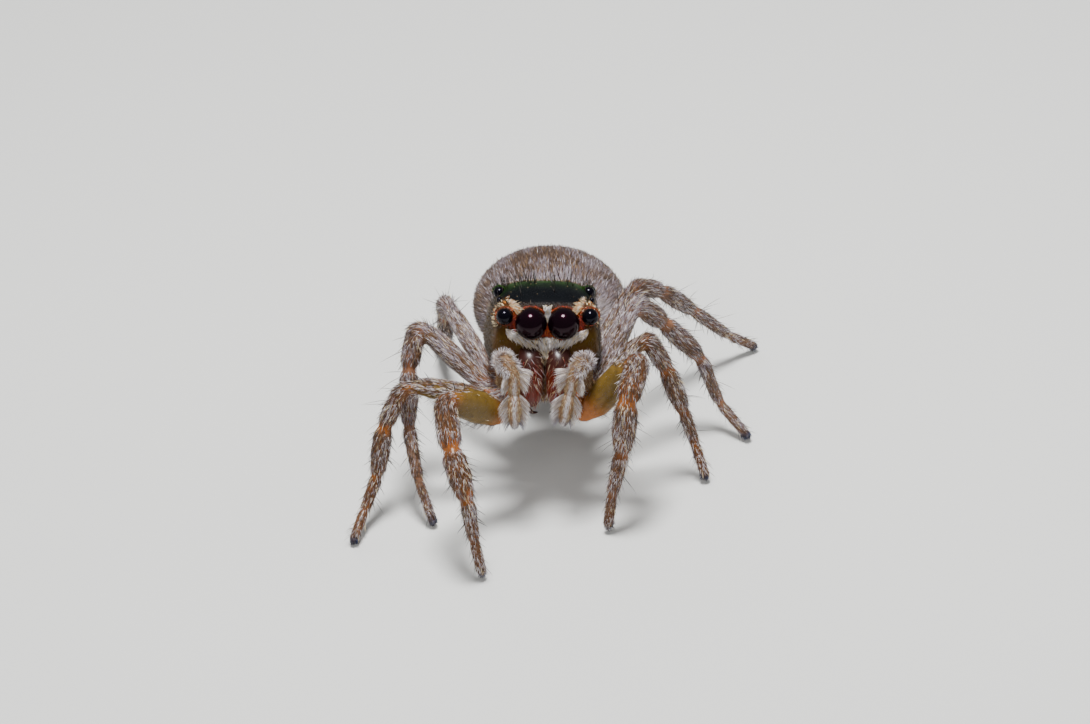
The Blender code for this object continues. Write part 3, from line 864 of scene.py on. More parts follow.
def add_variation(tree, colour_output, scale, amount):
    """Place the shared variation in a material, in object coordinates."""
    where = tree.nodes.new("ShaderNodeTexCoord")
    group = tree.nodes.new("ShaderNodeGroup")
    group.node_tree = VARIATION
    group.inputs["Scale"].default_value = scale
    group.inputs["Amount"].default_value = amount
    tree.links.new(where.outputs["Object"], group.inputs["Vector"])
    if isinstance(colour_output, tuple):
        group.inputs["Colour"].default_value = (*colour_output, 1.0)
    else:
        tree.links.new(colour_output, group.inputs["Colour"])
    return group


def add_bump(tree, shader, height, strength):
    """Bump from a height."""
    bump = tree.nodes.new("ShaderNodeBump")
    bump.inputs["Strength"].default_value = strength
    bump.inputs["Distance"].default_value = BUMP_DEPTH
    tree.links.new(height, bump.inputs["Height"])
    tree.links.new(bump.outputs["Normal"], shader.inputs["Normal"])


def add_attribute(tree, name):
    """Node that reads a painted attribute of the piece."""
    node = tree.nodes.new("ShaderNodeAttribute")
    node.attribute_name = name
    return node


def skin_material():
    """Cuticle with the painted markings, fine grain and bump."""
    mat, tree, shader = new_material("cuticle")
    tint = add_attribute(tree, "tint")
    rough = add_attribute(tree, "rough")
    group = add_variation(tree, tint.outputs["Color"], *CUTICLE_GRAIN)
    tree.links.new(group.outputs["Colour"], shader.inputs["Base Color"])
    tree.links.new(rough.outputs["Fac"], shader.inputs["Roughness"])
    gloss = add_attribute(tree, "gloss")
    tree.links.new(gloss.outputs["Fac"], shader.inputs["Coat Weight"])
    add_bump(tree, shader, group.outputs["Height"], 0.35)
    set_finish(shader, CUTICLE)
    return mat


def hair_material(name, roughness, specular):
    """Hair with its painted colour and a little variation along it."""
    mat, tree, shader = new_material(name)
    tint = add_attribute(tree, "tint")
    group = add_variation(tree, tint.outputs["Color"], *HAIR_GRAIN)
    tree.links.new(group.outputs["Colour"], shader.inputs["Base Color"])
    set_finish(shader, {"Roughness": roughness, "Specular IOR Level": specular})
    return mat


def eye_material(name, colour, glow):
    """Black lens with a clear coat over a soft coloured glow."""
    mat, tree, shader = new_material(name)
    group = add_variation(tree, colour, *LENS_GRAIN)
    tree.links.new(group.outputs["Colour"], shader.inputs["Base Color"])
    set_finish(shader, LENS | {"Specular Tint": (*glow, 1.0)})
    return mat


def jaw_material(name, colour, tip, roughness):
    """Polished red-brown cuticle that changes to another colour toward the tip."""
    mat, tree, shader = new_material(name)
    group = add_variation(tree, colour, *HORN_GRAIN)
    where = add_attribute(tree, "reach")
    blend = tree.nodes.new("ShaderNodeMix")
    blend.data_type = "RGBA"
    blend.inputs["B"].default_value = (*tip, 1.0)
    tree.links.new(where.outputs["Fac"], blend.inputs["Factor"])
    tree.links.new(group.outputs["Colour"], blend.inputs["A"])
    tree.links.new(blend.outputs["Result"], shader.inputs["Base Color"])
    set_finish(shader, HORN | {"Roughness": roughness})
    add_bump(tree, shader, group.outputs["Height"], 0.25)
    return mat


# ------------------------------------------------------------------ finishing

def new_object(name, mesh, mat):
    """Object at the origin with its material, riding on the one body."""
    obj = bpy.data.objects.new(name, mesh)
    mesh.materials.clear()
    mesh.materials.append(mat)
    bpy.context.scene.collection.objects.link(obj)
    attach(obj, "root")
    return obj


def set_values(mesh, name, kind, values):
    """Point attribute of a mesh from an array."""
    attribute = mesh.attributes.new(name, kind, "POINT")
    if kind == "FLOAT_COLOR":
        values = np.concatenate([values, np.ones((len(values), 1))], axis=1)
        attribute.data.foreach_set("color", values.astype(np.float32).ravel())
    else:
        attribute.data.foreach_set("value", values.astype(np.float32))


# -------------------------------------------------------------------- hairs

class Coat:
    """Blades of hair gathered into one closed mesh, each with its map patch."""

    def __init__(self, name):
        self.name = name
        self.points, self.faces, self.tints, self.maps = [], [], [], []
        self.count = 0

    def keep(self, points, faces, tints, maps):
        """Add blades: points and maps by blade, faces of one blade."""
        blades, corners = points.shape[:2]
        starts = self.count + np.arange(blades)[:, None, None] * corners
        self.points.append(points.reshape(-1, 3))
        self.faces.append((faces[None] + starts).reshape(-1, 3))
        self.tints.append(tints.reshape(-1, 3))
        self.maps.append(maps.reshape(-1, 2))
        self.count += blades * corners

    def scales(self, root, heading, normal, length, width, tint, place, belly=0.4, tip_shade=1.1):
        """Short flat hairs, pointed at both ends, with a ridge."""
        side = unit(np.cross(heading, normal))
        up = np.cross(side, heading)
        length, width = length[:, None], width[:, None]
        middle = root + heading * length * belly + up * width * 0.15
        points = np.stack([
            root - up * width * 0.3,
            middle - side * width / 2,
            middle + side * width / 2,
            middle + up * width * 0.30,
            root + heading * length - up * length * 0.04,
        ], axis=1)
        faces = np.array([(0, 3, 1), (0, 2, 3), (1, 3, 4), (3, 2, 4), (0, 1, 2), (1, 4, 2)])
        shades = np.array([0.75, 1.0, 1.0, 1.0, tip_shade])
        tints = np.clip(tint[:, None] * shades[None, :, None], 0, 1)
        spots = np.array([(0.5, 0), (0, belly), (1, belly), (0.5, belly), (0.5, 1)]) * PATCH
        self.keep(points, faces, tints, place[:, None] + spots[None])

    def hairs(self, root, heading, normal, curl, length, width, tint, place, tip_shade=1.1):
        """Round tapering hairs that bend toward their curl."""
        length, width = length[:, None], width[:, None]
        stations = ((0.0, 0.9), (0.35, 1.0), (0.70, 0.62))
        side = unit(np.cross(heading, normal))
        up = np.cross(side, heading)
        points, shades, spots = [], [], []
        for share, size in stations:
            centre = root + heading * length * share + curl * length * share ** 2
            for k in range(3):
                angle = 2 * math.pi * k / 3 + math.pi / 2
                offset = side * math.cos(angle) + up * math.sin(angle)
                points.append(centre + offset * width * size / 2)
                shades.append(0.8 + 0.3 * share)
                spots.append((0.5 + 0.5 * math.cos(angle), share))
        points.append(root + heading * length + curl * length)
        shades.append(tip_shade)
        spots.append((0.5, 1.0))
        faces = [(0, 1, 2)]
        for low in (0, 3):
            for k in range(3):
                j = (k + 1) % 3
                faces.append((low + 3 + j, low + j, low + k))
                faces.append((low + 3 + k, low + 3 + j, low + k))
        for k in range(3):
            faces.append((9, 6 + (k + 1) % 3, 6 + k))
        tints = np.clip(tint[:, None] * np.array(shades)[None, :, None], 0, 1)
        maps = place[:, None] + np.array(spots)[None] * PATCH
        self.keep(np.stack(points, axis=1), np.array(faces), tints, maps)

    def finish(self, mat, slot):
        """The joined mesh as an object."""
        points = np.concatenate(self.points)
        points[:, 2] = np.maximum(points[:, 2], LOWEST_HAIR)
        faces = np.concatenate(self.faces)
        a, b, c = (points[faces[:, k]] for k in range(3))
        mesh = bpy.data.meshes.new(self.name)
        mesh.from_pydata((points * MM).tolist(), [], faces.tolist())
        mesh.shade_smooth()
        set_values(mesh, "tint", "FLOAT_COLOR", np.concatenate(self.tints))
        layer = mesh.uv_layers.new(name="OFBake")
        layer.data.foreach_set("uv", np.concatenate(self.maps)[faces.ravel()].astype(np.float32).ravel())
        new_object(self.name, mesh, mat)
        volume = np.einsum("ij,ij->i", a, np.cross(b, c)).sum()
        print(f"{self.name}: {len(faces)} triangles, volume {volume / 6:.3f}")


def lying(tangent, normal, lift, swing):
    """Directions that lie along a surface, turned sideways and lifted, in degrees."""
    flat = unit(tangent - normal * (tangent * normal).sum(axis=1, keepdims=True))
    side = np.cross(normal, flat)
    turn, rise = np.radians(swing)[:, None], np.radians(lift)[:, None]
    turned = flat * np.cos(turn) + side * np.sin(turn)
    return unit(turned * np.cos(rise) + normal * np.sin(rise))


def pick_colours(rng, palette, shares, count):
    """Random colours from a palette with a share for each."""
    shares = np.asarray(shares, dtype=float)
    chosen = rng.choice(len(palette), count, p=shares / shares.sum())
    return np.array(palette)[chosen] * rng.normal(1.0, 0.10, count)[:, None].clip(0.7, 1.3)


def limb_map(part, u, angle):
    """Place on the unwrapped limb: along it and round it."""
    turn = angle / (2 * math.pi) % 1
    return np.stack([MAP_MARGIN + MAP_SPAN * u / part.limb.last, MAP_MARGIN + MAP_SPAN * turn], axis=1)


def leg_coat(skin, number, part, mat):
    """Coat of one leg: flat hairs, fringe, bristles and the foot's tuft."""
    rng = np.random.default_rng(SEEDS["leg"] + number)
    coat = Coat(f"coat_leg_{part.pair}_{part.side_name}")
    front = np.array((0.0, -1.0, 0.0))
    raised = np.array((0.0, 0.0, 1.0))
    count = LEG_SCALES[part.pair]
    point, normal, _, place = skin.sample(rng, [number], count)
    u, angle = place[:, 0], place[:, 1]
    tangent = part.limb.at(part.limb.along, u)
    ring = bump_at(u, 2.90, 0.10) + bump_at(u, 3.93, 0.07)
    keep = 1 - 0.80 * np.clip(ring, 0, 1)
    facing = normal @ front
    height = normal @ raised
    bare = (1 - step_at(u, 1.88, 0.02)) * (1 - step_at(height, 0.88 if part.pair == 1 else -0.05, 0.06))
    bare *= step_at(facing, -0.35, 0.08) if part.pair == 1 else 1.0
    if part.pair > 2:
        bare = bare * 0.5
    keep *= 0.80 * (1 - 0.995 * bare)
    kept = rng.uniform(size=count) < keep
    point, normal, u, angle, tangent = only(kept, point, normal, u, angle, tangent)
    count = len(u)
    lanes = np.sin(6 * angle + 1.5 * np.sin(2.6 * u + part.pair) + 0.8 * STREAKS(point))
    pale = 0.26 + 0.30 * lanes + 0.16 * BLOTCHES(point) - 0.08 * step_at(u, 4.3, 0.2) + 0.20 * (u < 2)
    pale = np.clip(pale + (0.12 if part.pair > 2 else 0.0), 0.04, 0.85)
    shares = (0.34, 0.28, 0.13, 0.25) if part.pair < 3 else (0.15, 0.35, 0.05, 0.45)
    light = pick_colours(rng, (WHITE, SILVER, CREAM, LILAC), shares, count)
    shares = (0.18, 0.36, 0.16, 0.30) if part.pair < 3 else (0.30, 0.40, 0.18, 0.12)
    dark = pick_colours(rng, (TAN_HAIR, BROWN, DARK, AMBER), shares, count)
    tint = np.where((rng.uniform(size=count) < pale)[:, None], light, dark)
    # Hairs at the end of the foot: dark, with a painted bluish sheen.
    tint = mix(tint, BLUE_BLACK_AND_SHEEN, 0.85 * step_at(u, 5.86, 0.03))
    length = rng.uniform(0.13, 0.26, count) * (1 - 0.35 * step_at(u, 4.6, 0.3))
    width = rng.uniform(0.011, 0.019, count)
    heading = lying(tangent, normal, rng.normal(6, 3, count).clip(2, 20), rng.normal(0, 8, count))
    coat.scales(point - normal * LEG_SINK, heading, normal, length, width, tint,
                limb_map(part, u, angle))
    leg_standing_hair(coat, skin, number, part, rng)
    leg_spines(coat, part, rng)
    if part.pair < 3:
        thigh_dots(coat, skin, number, part, rng)
    leg_foot(coat, part, rng)
    coat.finish(mat, "leg")


def thigh_dots(coat, skin, number, part, rng):
    """Very short dark bristles dotted over the bare thigh, and a fringe below it."""
    point, normal, _, place = skin.sample(rng, [number], 2600)
    u, angle = place[:, 0], place[:, 1]
    kept = (u > 1.08) & (u < 1.95)
    point, normal, u, angle = only(kept, point, normal, u, angle)
    count = len(u)
    tangent = part.limb.at(part.limb.along, u)
    heading = lying(tangent, normal, rng.normal(24, 6, count).clip(8, 50), rng.normal(0, 12, count))
    tint = pick_colours(rng, (DARK, BROWN), (0.7, 0.3), count)
    coat.scales(point, heading, normal, rng.uniform(0.035, 0.07, count), rng.uniform(0.007, 0.011, count),
                tint, limb_map(part, u, angle))
    below = normal[:, 2] < -0.75
    point, normal, u, angle, tangent = only(below, point, normal, u, angle, tangent)
    count = len(u)
    heading = lying(tangent, normal, rng.normal(55, 10, count).clip(30, 80), rng.normal(0, 12, count))
    tint = pick_colours(rng, (WHITE, LILAC), (0.7, 0.3), count)
    coat.hairs(point, heading, normal, tangent * 0.2, rng.uniform(0.14, 0.30, count),
               rng.uniform(0.010, 0.014, count), tint, limb_map(part, u, angle))


def leg_standing_hair(coat, skin, number, part, rng):
    """Hairs and dark bristles that stand out from a leg."""
    for count, low, high, lift, size, palette, shares, thick in (
            (420, 1.9, 5.9, 30, (0.14, 0.28), (WHITE, LILAC, CREAM), (0.5, 0.3, 0.2), 0.012),
            (330, 1.8, 5.9, 36, (0.14, 0.30), (DARK, BROWN), (0.8, 0.2), 0.012),
            (34, 1.8, 4.8, 60, (0.35, 0.75), (DARK, BROWN), (0.9, 0.1), 0.013)):
        point, normal, _, place = skin.sample(rng, [number], count)
        u, angle = place[:, 0], place[:, 1]
        bare = (1 - step_at(u, 1.90, 0.03)) * (normal[:, 2] > -0.75) * (normal[:, 2] < 0.35)
        kept = (u > low) & (u < high) & (bare < 0.5)
        point, normal, u, angle = only(kept, point, normal, u, angle)
        count = len(u)
        tangent = part.limb.at(part.limb.along, u)
        heading = lying(tangent, normal, rng.normal(lift, 9, count).clip(20, 85), rng.normal(0, 14, count))
        tint = pick_colours(rng, palette, shares, count)
        curl = tangent * rng.uniform(0.0, 0.25, count)[:, None]
        length = rng.uniform(*size, count)
        width = np.full(count, thick) * rng.uniform(0.8, 1.2, count)
        coat.hairs(point - normal * ROOT_SINK, heading, normal, curl, length, width, tint,
                   limb_map(part, u, angle))


def leg_spines(coat, part, rng):
    """Stout dark spines over the end of the thigh and along the shin."""
    limb = part.limb
    spots = [(1.74, 14, 0.30), (1.80, -18, 0.34), (1.86, 16, 0.32), (1.91, -6, 0.36), (1.96, 26, 0.28)]
    spots += [(u, turn, 0.30) for u in (3.35, 3.65, 4.25, 4.55) for turn in (75, -75, 150, -150)]
    u = np.array([spot[0] for spot in spots])
    angle = np.radians([spot[1] for spot in spots])
    along, back, across = limb.at(limb.along, u), limb.at(limb.back, u), limb.at(limb.across, u)
    depth, width = (np.interp(u, limb.u, size)[:, None] for size in (limb.depth, limb.width))
    upward, beside = np.cos(angle)[:, None], np.sin(angle)[:, None]
    outward = unit(back * upward + across * beside)
    root = limb.at(limb.centre, u) + back * upward * depth * 0.9 + across * beside * width * 0.9
    heading = unit(along * 0.65 + outward + rng.normal(0, 0.08, (len(u), 3)))
    length = np.array([spot[2] for spot in spots]) * rng.uniform(0.85, 1.1, len(u))
    tint = pick_colours(rng, (DARK, SPINE_BLACK), (0.5, 0.5), len(u))
    coat.hairs(root, heading, outward, along * 0.15, length, np.full(len(u), 0.020), tint,
               limb_map(part, u, angle))


def leg_foot(coat, part, rng):
    """Dark brush and two small claws at the end of a foot."""
    limb = part.limb
    tip, along, back, across = (values[-1] for values in (limb.centre, limb.along, limb.back, limb.across))
    count = 260
    angle = rng.uniform(0, 2 * math.pi, count)
    spread = np.sqrt(rng.uniform(size=count)) * 0.09
    out = across * np.cos(angle)[:, None] + back * np.sin(angle)[:, None]
    root = tip - along * rng.uniform(0.04, 0.20, count)[:, None] + out * spread[:, None]
    heading = unit(along * 0.9 + out * (spread * 4)[:, None] - back * 0.35 + rng.normal(0, 0.15, (count, 3)))
    # Brush hairs: black, some with a painted bluish sheen.
    tint = pick_colours(rng, (BLUE_BLACK_AND_SHEEN, BRUSH_BLACK, BRUSH_BLUE_SHEEN), (0.45, 0.43, 0.12), count)
    length = rng.uniform(0.07, 0.13, count)
    width = rng.uniform(0.010, 0.016, count)
    place = limb_map(part, np.full(count, 5.97), angle)
    curl = np.tile(-back * 0.15, (count, 1))
    coat.hairs(root, heading, out, curl, length, width, tint, place)
    pair = np.array((-1.0, 1.0))[:, None]
    coat.hairs(tip - along * 0.03 + across * pair * 0.03, unit(along + across * pair * 0.3 + back * 0.25),
               np.tile(back, (2, 1)), np.tile(-back * 0.45, (2, 1)), np.full(2, 0.15), np.full(2, 0.030),
               np.tile(CLAW, (2, 1)), limb_map(part, np.full(2, 5.98), np.array((1.0, 5.0))))


# --------------------------------------------------------------------- pieces

def ball(name, centre, radius, mat, segments=64):
    """Smooth eye from the sphere primitive, its pole facing forward."""
    shape = bmesh.new()
    place = Matrix.Translation(centre) @ BODY.to_4x4() @ Matrix.Rotation(math.pi / 2, 4, "X")
    bmesh.ops.create_uvsphere(shape, u_segments=segments, v_segments=segments // 2,
                              radius=radius, matrix=place)
    mesh = finished_mesh(name, shape)
    mesh.shade_smooth()
    mesh.transform(Matrix.Scale(MM, 4))
    return new_object(name, mesh, mat)


def add_eyes():
    """Eight polished eyes in place of the plain ones."""
    large = eye_material("front_eye", FRONT_LENS, FRONT_GLOW)
    small = eye_material("side_eye", SIDE_LENS, SIDE_GLOW)
    for name, (out, forward, up, radius) in EYES.items():
        for side_name, side in SIDES.items():
            centre = body_point(side * out, forward, up)
            mat = large if name == "eye_front_middle" else small
            eye = ball(f"lens_{name[4:]}_{side_name}", centre, radius, mat, 64 if radius > 0.1 else 32)
            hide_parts(f"{name}_{side_name}")


def ring_object(name, rings, reach, mat, levels=2):
    """Closed tube of rings, subdivided smooth, with its reach toward the tip."""
    shape = bmesh.new()
    shell_mesh(shape, rings)
    mesh = finished_mesh(name, shape)
    mesh.transform(Matrix.Scale(MM, 4))
    set_values(mesh, "reach", "FLOAT", np.repeat(np.asarray(reach, dtype=float), len(rings[0])))
    mesh.shade_smooth()
    obj = bpy.data.objects.new(name, mesh)
    bpy.context.scene.collection.objects.link(obj)
    finer = obj.modifiers.new("finer", "SUBSURF")
    finer.levels = finer.render_levels = levels
    graph = bpy.context.evaluated_depsgraph_get()
    fine = bpy.data.meshes.new_from_object(obj.evaluated_get(graph))
    bpy.data.objects.remove(obj, do_unlink=True)
    fine.name = name
    fine.shade_smooth()
    return new_object(name, fine, mat)


def add_jaws():
    """Two polished jaws, each with its folded fang."""
    horn = jaw_material("jaw_horn", JAW_BASE, JAW_TIP, 0.36)
    point = jaw_material("fang_horn", FANG_BASE, FANG_TIP, 0.12)
    across = BODY @ Vector((1, 0, 0))
    outward = BODY @ Vector((0, -1, 0.25)).normalized()
    top = -0.46 * SHIELD_FOOT
    sections = [
        (top + 0.10, 0.35, -0.30, 0.22, 0.12, 0.0),
        (top - 0.04, 0.355, -0.22, 0.28, 0.20, 0.0),
        (top - 0.20, 0.36, -0.13, 0.325, 0.26, 0.0),
        (top - 0.42, 0.365, -0.05, 0.345, 0.30, 0.05),
        (top - 0.75, 0.365, 0.02, 0.345, 0.30, 0.55),
        (top - 1.10, 0.36, 0.02, 0.315, 0.27, 1.0),
        (top - 1.32, 0.35, -0.02, 0.255, 0.225, 0.9),
        (top - 1.44, 0.35, -0.05, 0.16, 0.15, 0.6),
        (top - 1.48, 0.35, -0.05, 0.07, 0.07, 0.5),
    ]
    jaws = []
    for side_name, side in SIDES.items():
        rings = [oval_ring(body_point(side * out + JAW_SHIFT, forward, up), across, outward, wide, deep, 20)
                 for up, out, forward, wide, deep, _ in sections]
        jaw = ring_object(f"jaw_shell_{side_name}", rings, [row[-1] for row in sections], horn)
        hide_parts(f"jaw_{side_name}")
        jaws.append(jaw)
        root = body_point(side * 0.42 + JAW_SHIFT, -0.06, top - 1.44)
        bend = body_point(side * 0.33 + JAW_SHIFT, -0.08, top - 1.63)
        tip = body_point(side * 0.14 + JAW_SHIFT, -0.14, top - 1.63)
        sizes = [(0, 0.14, 0.14), (1.0, 0.11, 0.11), (1.7, 0.06, 0.06), (2, 0.02, 0.02)]
        limb = Limb([root, bend, tip], sizes, BODY @ Vector((0, 1, 0)), reach=0.4, step=0.2)
        fang = ring_object(f"fang_point_{side_name}", limb.rings(12)[0], limb.u / 2, point)
        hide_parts(f"fang_{side_name}")
    return jaws


def add_skin(skin):
    """The one skin, painted, in place of every flesh node."""
    colour, rough = paint_skin(skin)
    mesh = skin.mesh
    for attribute in list(mesh.attributes):
        if not attribute.is_required and not attribute.is_internal:
            mesh.attributes.remove(attribute)
    mesh.transform(Matrix.Scale(MM, 4))
    mesh.name = "skin"
    mesh.shade_smooth()
    set_values(mesh, "tint", "FLOAT_COLOR", colour)
    set_values(mesh, "rough", "FLOAT", rough)
    limbs = np.array([part.kind in ("leg", "palp") for part in skin.parts])
    set_values(mesh, "gloss", "FLOAT", LIMB_GLOSS * limbs[skin.owner])
    obj = new_object("skin", mesh, skin_material())
    flesh = [name for name in frame["nodes"] if not name.startswith(("eye_", "jaw_", "fang_"))]
    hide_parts(*flesh)
    print("skin", len(skin.triangles), "triangles")


# ------------------------------------------------------------ palps and body

def palp_frame(limb, u):
    """Directions at many u of a feeler: along it, to its front and to its side."""
    along = limb.at(limb.along, u)
    ahead = np.array(BODY @ Vector((0, -1, 0.25)))
    front = unit(ahead - along * (along @ ahead)[:, None])
    return along, front, np.cross(along, front)


def palp_coat(skin, number, part, mat):
    """Coat of one feeler: tan hairs, fans of long plumes and a white streak."""
    rng = np.random.default_rng(SEEDS["palp"] + number)
    coat = Coat(f"coat_palp_{part.side_name}")
    limb = part.limb
    point, normal, _, place = skin.sample(rng, [number], 5200)
    u, angle = place[:, 0], place[:, 1]
    tangent, front, beside = palp_frame(limb, u)
    offset = point - limb.at(limb.centre, u)
    across = (offset * beside).sum(axis=1)
    streak = bump_at(across, 0.0, 0.045) * ((offset * front).sum(axis=1) > 0) * step_at(u, 2.1, 0.08)
    count = len(u)
    tint = pick_colours(rng, (STRAW, TAN_HAIR, CREAM, PALP_TAN), (0.26, 0.34, 0.06, 0.34), count)
    tip = step_at(u, PALP_GREY, 0.05)
    tint = mix(tint, PALP_TIP, 0.8 * tip)
    tint = mix(tint, WHITE, np.clip(streak * 1.2, 0, 1))
    knee = bump_at(u, 1.1, 0.40)
    tint = mix(tint, WHITE, 0.8 * knee * (rng.uniform(size=count) < 0.35))
    lift = rng.normal(11, 4, count).clip(4, 40) + 26 * knee
    heading = lying(tangent, normal, lift, rng.normal(0, 10, count))
    length = rng.uniform(0.09, 0.16, count)
    width = rng.uniform(0.010, 0.017, count)
    coat.scales(point, heading, normal, length, width, tint, limb_map(part, u, angle))
    palp_fringe(coat, part, rng)
    palp_crown(coat, skin, number, part, rng)
    coat.finish(mat, "palp")


def palp_fringe(coat, part, rng):
    """Fans of long white plumes down both sides of the feeler's last two joints."""
    limb = part.limb
    for low, high, count, size in ((1.75, 2.50, 330, 0.46), (2.98, 3.86, 400, 0.42)):
        u = rng.uniform(low, high, count)
        edge = rng.choice((-1.0, 1.0), count)
        turn = np.radians(rng.uniform(48, 115, count))
        along, front, beside = palp_frame(limb, u)
        beside = beside * edge[:, None]
        depth = np.interp(u, limb.u, limb.depth)[:, None]
        width = np.interp(u, limb.u, limb.width)[:, None]
        outward = front * np.cos(turn)[:, None] + beside * np.sin(turn)[:, None]
        root = limb.at(limb.centre, u) + front * np.cos(turn)[:, None] * depth
        root = root + beside * np.sin(turn)[:, None] * width
        share = (u - low) / (high - low)
        spread = (1.15 - 0.65 * share)[:, None] * rng.uniform(0.85, 1.15, (count, 1))
        heading = unit(along * 0.80 + beside * spread + front * rng.uniform(-0.15, 0.30, (count, 1)))
        curl = along * rng.uniform(0.20, 0.35, count)[:, None]
        tint = pick_colours(rng, (PLUME_WHITE, SILVER, CREAM), (0.66, 0.14, 0.20), count)
        tint = mix(tint, TAN_HAIR, 0.7 * (turn < math.radians(70)))
        tint = mix(tint, PLUME_TIP, 0.8 * step_at(u, 3.74, 0.05))
        length = rng.uniform(0.75, 1.0, count) * size * (0.50 + 0.50 * np.sin(turn) ** 2) * (1 - 0.35 * share)
        thick = rng.uniform(0.010, 0.015, count)
        coat.hairs(root - outward * 0.02, heading, outward, curl, length, thick, tint,
                   limb_map(part, u, turn * edge))


def palp_crown(coat, skin, number, part, rng):
    """Short white hairs that fan out round the top of the feeler."""
    point, normal, _, place = skin.sample(rng, [number], 3000)
    u, angle = place[:, 0], place[:, 1]
    edge = np.abs(np.sin(angle)) > 0.62
    kept = (u > 0.75) & (u < 1.95) & (normal[:, 2] > -0.35) & (edge | (u < 1.12))
    point, normal, u, angle = only(kept, point, normal, u, angle)
    count = len(u)
    tangent = part.limb.at(part.limb.along, u)
    heading = lying(tangent, normal, rng.normal(52, 10, count).clip(25, 80), rng.normal(0, 25, count))
    tint = pick_colours(rng, (WHITE, LILAC), (0.8, 0.2), count)
    curl = tangent * 0.15
    coat.hairs(point - normal * ROOT_SINK, heading, normal, curl, rng.uniform(0.12, 0.24, count),
               rng.uniform(0.011, 0.016, count), tint, limb_map(part, u, angle))


def wrap_map(points, origin, length):
    """Place on an unwrap of a body: along it, and round it."""
    local = points - origin
    turn = np.arctan2(local[:, 0], local[:, 2]) / (2 * math.pi) + 0.5
    along = np.clip(local[:, 1] / length + 0.5, 0, 1)
    return np.stack([MAP_MARGIN + MAP_SPAN * along, MAP_MARGIN + MAP_SPAN * turn], axis=1)


def hind_coat(skin, numbers, mat):
    """Coat of the hind body: soft grey and tan hair lying to the rear."""
    origin = np.array(HIND_CENTRE)
    rng = np.random.default_rng(SEEDS["hind"])
    for half, sign in (("left", 1), ("right", -1)):
        coat = Coat(f"coat_hind_{half}")
        point, normal, _, _ = skin.sample(rng, numbers, HIND_SCALES)
        kept = (point[:, 0] - origin[0]) * sign >= 0
        point, normal = only(kept, point, normal)
        count = len(point)
        brown = hind_pattern(point)
        light = pick_colours(rng, (SILVER, LILAC, HIND_GREY), (0.20, 0.34, 0.46), count)
        dark = pick_colours(rng, (TAN_HAIR, HIND_BROWN, HIND_TAN), (0.2, 0.4, 0.4), count)
        tint = np.where((rng.uniform(size=count) < np.clip(brown, 0.08, 0.9))[:, None], dark, light)
        front = 1 - step_at(point[:, 1], HIND_CENTRE.y - 1.55, 0.15)
        fore = 1 - step_at(point[:, 1], HIND_CENTRE.y - 1.0, 0.5)
        tint = np.where((rng.uniform(size=count) < 0.45 * fore)[:, None], mix(tint, SILVER, 0.7 * fore), tint)
        tint = mix(tint, WHITE, 0.50 * front * (rng.uniform(size=count) < 0.6))
        rearward = np.tile((0.0, 1.0, -0.15), (count, 1))
        lift = rng.normal(20, 6, count).clip(6, 50) + 22 * front
        heading = lying(rearward, normal, lift, rng.normal(0, 12, count))
        length = rng.uniform(0.18, 0.34, count) * (1 + 0.4 * front)
        width = rng.uniform(0.018, 0.030, count)
        coat.scales(point - normal * ROOT_SINK, heading, normal, length, width, tint,
                    wrap_map(point, origin, HIND_LENGTH))
        coat.finish(mat, "hind")


